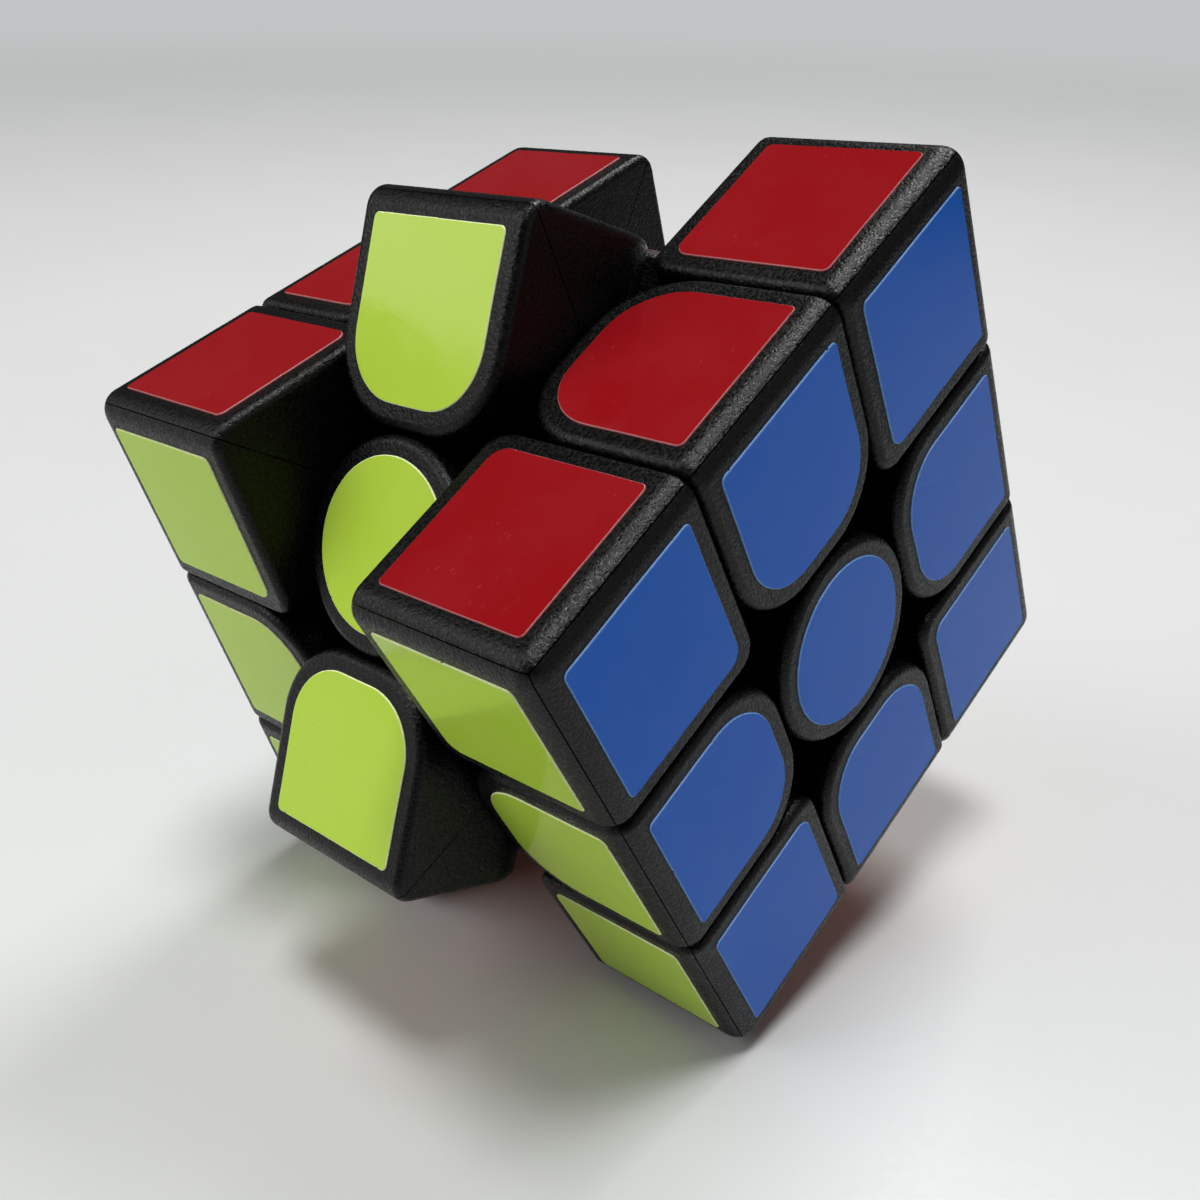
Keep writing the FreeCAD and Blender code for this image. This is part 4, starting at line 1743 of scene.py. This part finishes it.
@dataclass
class Table:
    """The pale table top under the cube."""

    level: float
    half_side: float = 1.0
    divisions: int = 24

    def build(self) -> None:
        """Builds the table top as a flat grid that looks up."""
        shape = bmesh.new()
        bmesh.ops.create_grid(shape, x_segments=self.divisions,
                              y_segments=self.divisions, size=self.half_side)
        bmesh.ops.translate(shape, verts=shape.verts, vec=Z_AXIS * self.level)
        top = from_bmesh("table_top", shape)
        if top.data.polygons[0].normal.z < 0:
            top.data.flip_normals()
        top.data.materials.append(PaleTable().build())
        top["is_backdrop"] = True


@dataclass(frozen=True)
class SoftBox:
    """A square area light that looks at the cube.

    Its azimuth is counted from -Y towards +X, in degrees, as its elevation is; its
    distance and size are in metres.
    """

    name: str
    azimuth: float
    elevation: float
    distance: float
    size: float
    watts: float
    tint: str = "ffffff"

    def build(self) -> None:
        """Adds the light."""
        lamp = bpy.data.lights.new(self.name, "AREA")
        lamp.shape = "SQUARE"
        lamp.size = self.size
        lamp.energy = self.watts
        lamp.color = linear(self.tint)[:3]
        around, up = math.radians(self.azimuth), math.radians(self.elevation)
        place = Vector((math.sin(around) * math.cos(up), -math.cos(around) * math.cos(up),
                        math.sin(up))) * self.distance
        light = bpy.data.objects.new(self.name, lamp)
        light.location = place
        light.rotation_mode = "QUATERNION"
        light.rotation_quaternion = (-place).to_track_quat("-Z", "Y")
        bpy.context.scene.collection.objects.link(light)


@dataclass
class Studio:
    """The camera, the soft lights and the pale surround.

    The camera's angles are in degrees, its lens and sensor in millimetres. The
    surround is shown brighter than it lights, so that shadows stay deep.
    """

    camera_mm: tuple[float, float, float] = (74.8, -87.0, 55.9)
    heading: float = 42.95
    down: float = 33.06
    roll: float = 1.32
    lens: float = 39.1
    sensor: float = 36.0
    nearest: float = 0.001
    shift: tuple[float, float] = (0.0427, 0.1012)
    surround: str = "c9cbcc"
    lit_strength: float = 0.11
    seen_strength: float = 0.92
    boxes: tuple[SoftBox, ...] = (
        SoftBox("back_window", 195.0, 55.0, 1.0, 0.35, 5.5, "fffffc"),
        SoftBox("left_window", -40.0, 32.0, 1.1, 0.8, 6.6, "fffffd"),
        SoftBox("ceiling", 30.0, 83.0, 1.0, 0.24, 7.2, "ffffff"),
        SoftBox("right_fill", 100.0, 22.0, 1.2, 1.0, 1.3, "ffffff"),
    )

    def build(self) -> None:
        """Sets up the camera, the lights and the world."""
        lens = bpy.data.cameras.new("view")
        lens.lens = self.lens
        lens.sensor_width = self.sensor
        lens.shift_x, lens.shift_y = self.shift
        lens.clip_start = self.nearest
        camera = bpy.data.objects.new("view", lens)
        camera.location = Vector(self.camera_mm) * MM
        turn = (Quaternion(Z_AXIS, math.radians(self.heading))
                @ Quaternion(X_AXIS, math.radians(90 - self.down))
                @ Quaternion(Z_AXIS, math.radians(self.roll)))
        camera.rotation_mode = "QUATERNION"
        camera.rotation_quaternion = turn
        bpy.context.scene.collection.objects.link(camera)
        bpy.context.scene.camera = camera
        bpy.context.scene.view_settings.view_transform = "Standard"
        for box in self.boxes:
            box.build()
        self.surround_the_table()

    def surround_the_table(self) -> None:
        """Sets up the world: a pale backdrop that adds only a little light."""
        world = bpy.data.worlds.new("surround")
        world.use_nodes = True
        bpy.context.scene.world = world
        tree = world.node_tree
        tree.nodes.clear()
        looking = add_node(tree, "ShaderNodeLightPath").outputs["Is Camera Ray"]
        strength = add_node(tree, "ShaderNodeMapRange", inputs={
            "Value": looking, "To Min": self.lit_strength, "To Max": self.seen_strength})
        backdrop = add_node(tree, "ShaderNodeBackground", inputs={
            "Color": linear(self.surround), "Strength": strength})
        add_node(tree, "ShaderNodeOutputWorld", inputs={"Surface": backdrop})


def empty_scene() -> None:
    """Removes whatever the new file came with."""
    for thing in list(bpy.data.objects):
        bpy.data.objects.remove(thing)


def main() -> None:
    """Builds the cube piece by piece and stages it."""
    logging.basicConfig(level=logging.INFO, format="%(name)s: %(message)s")
    empty_scene()
    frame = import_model()
    frame_box = [list(corner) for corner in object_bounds()]
    sizes = CubeSizes.from_record(frame["record"])
    layers = [Layer.from_frame(frame, name, side)
              for name, side in (("right", 1), ("middle", 0), ("left", -1))]
    plastic = GrainedAbs().build()
    finishes = {face: (CastVinyl(face).build(), CutVinylEdge(face).build())
                for face in Face}
    snug = Placer("place_cubies")
    by_hand = Placer("place_stickers", slip_mm=0.06, skew_degrees=0.3)
    CornerCubies(sizes).build(layers, snug, plastic)
    EdgeCubies(sizes).build(layers, snug, plastic)
    CentreCaps(sizes).build(layers, snug, plastic)
    Stickers(sizes).build(layers, by_hand, finishes)
    Mechanism(frame["nodes"]).dress()
    Table(frame_box[0][2]).build()
    Studio().build()


if __name__ == "__main__":
    main()
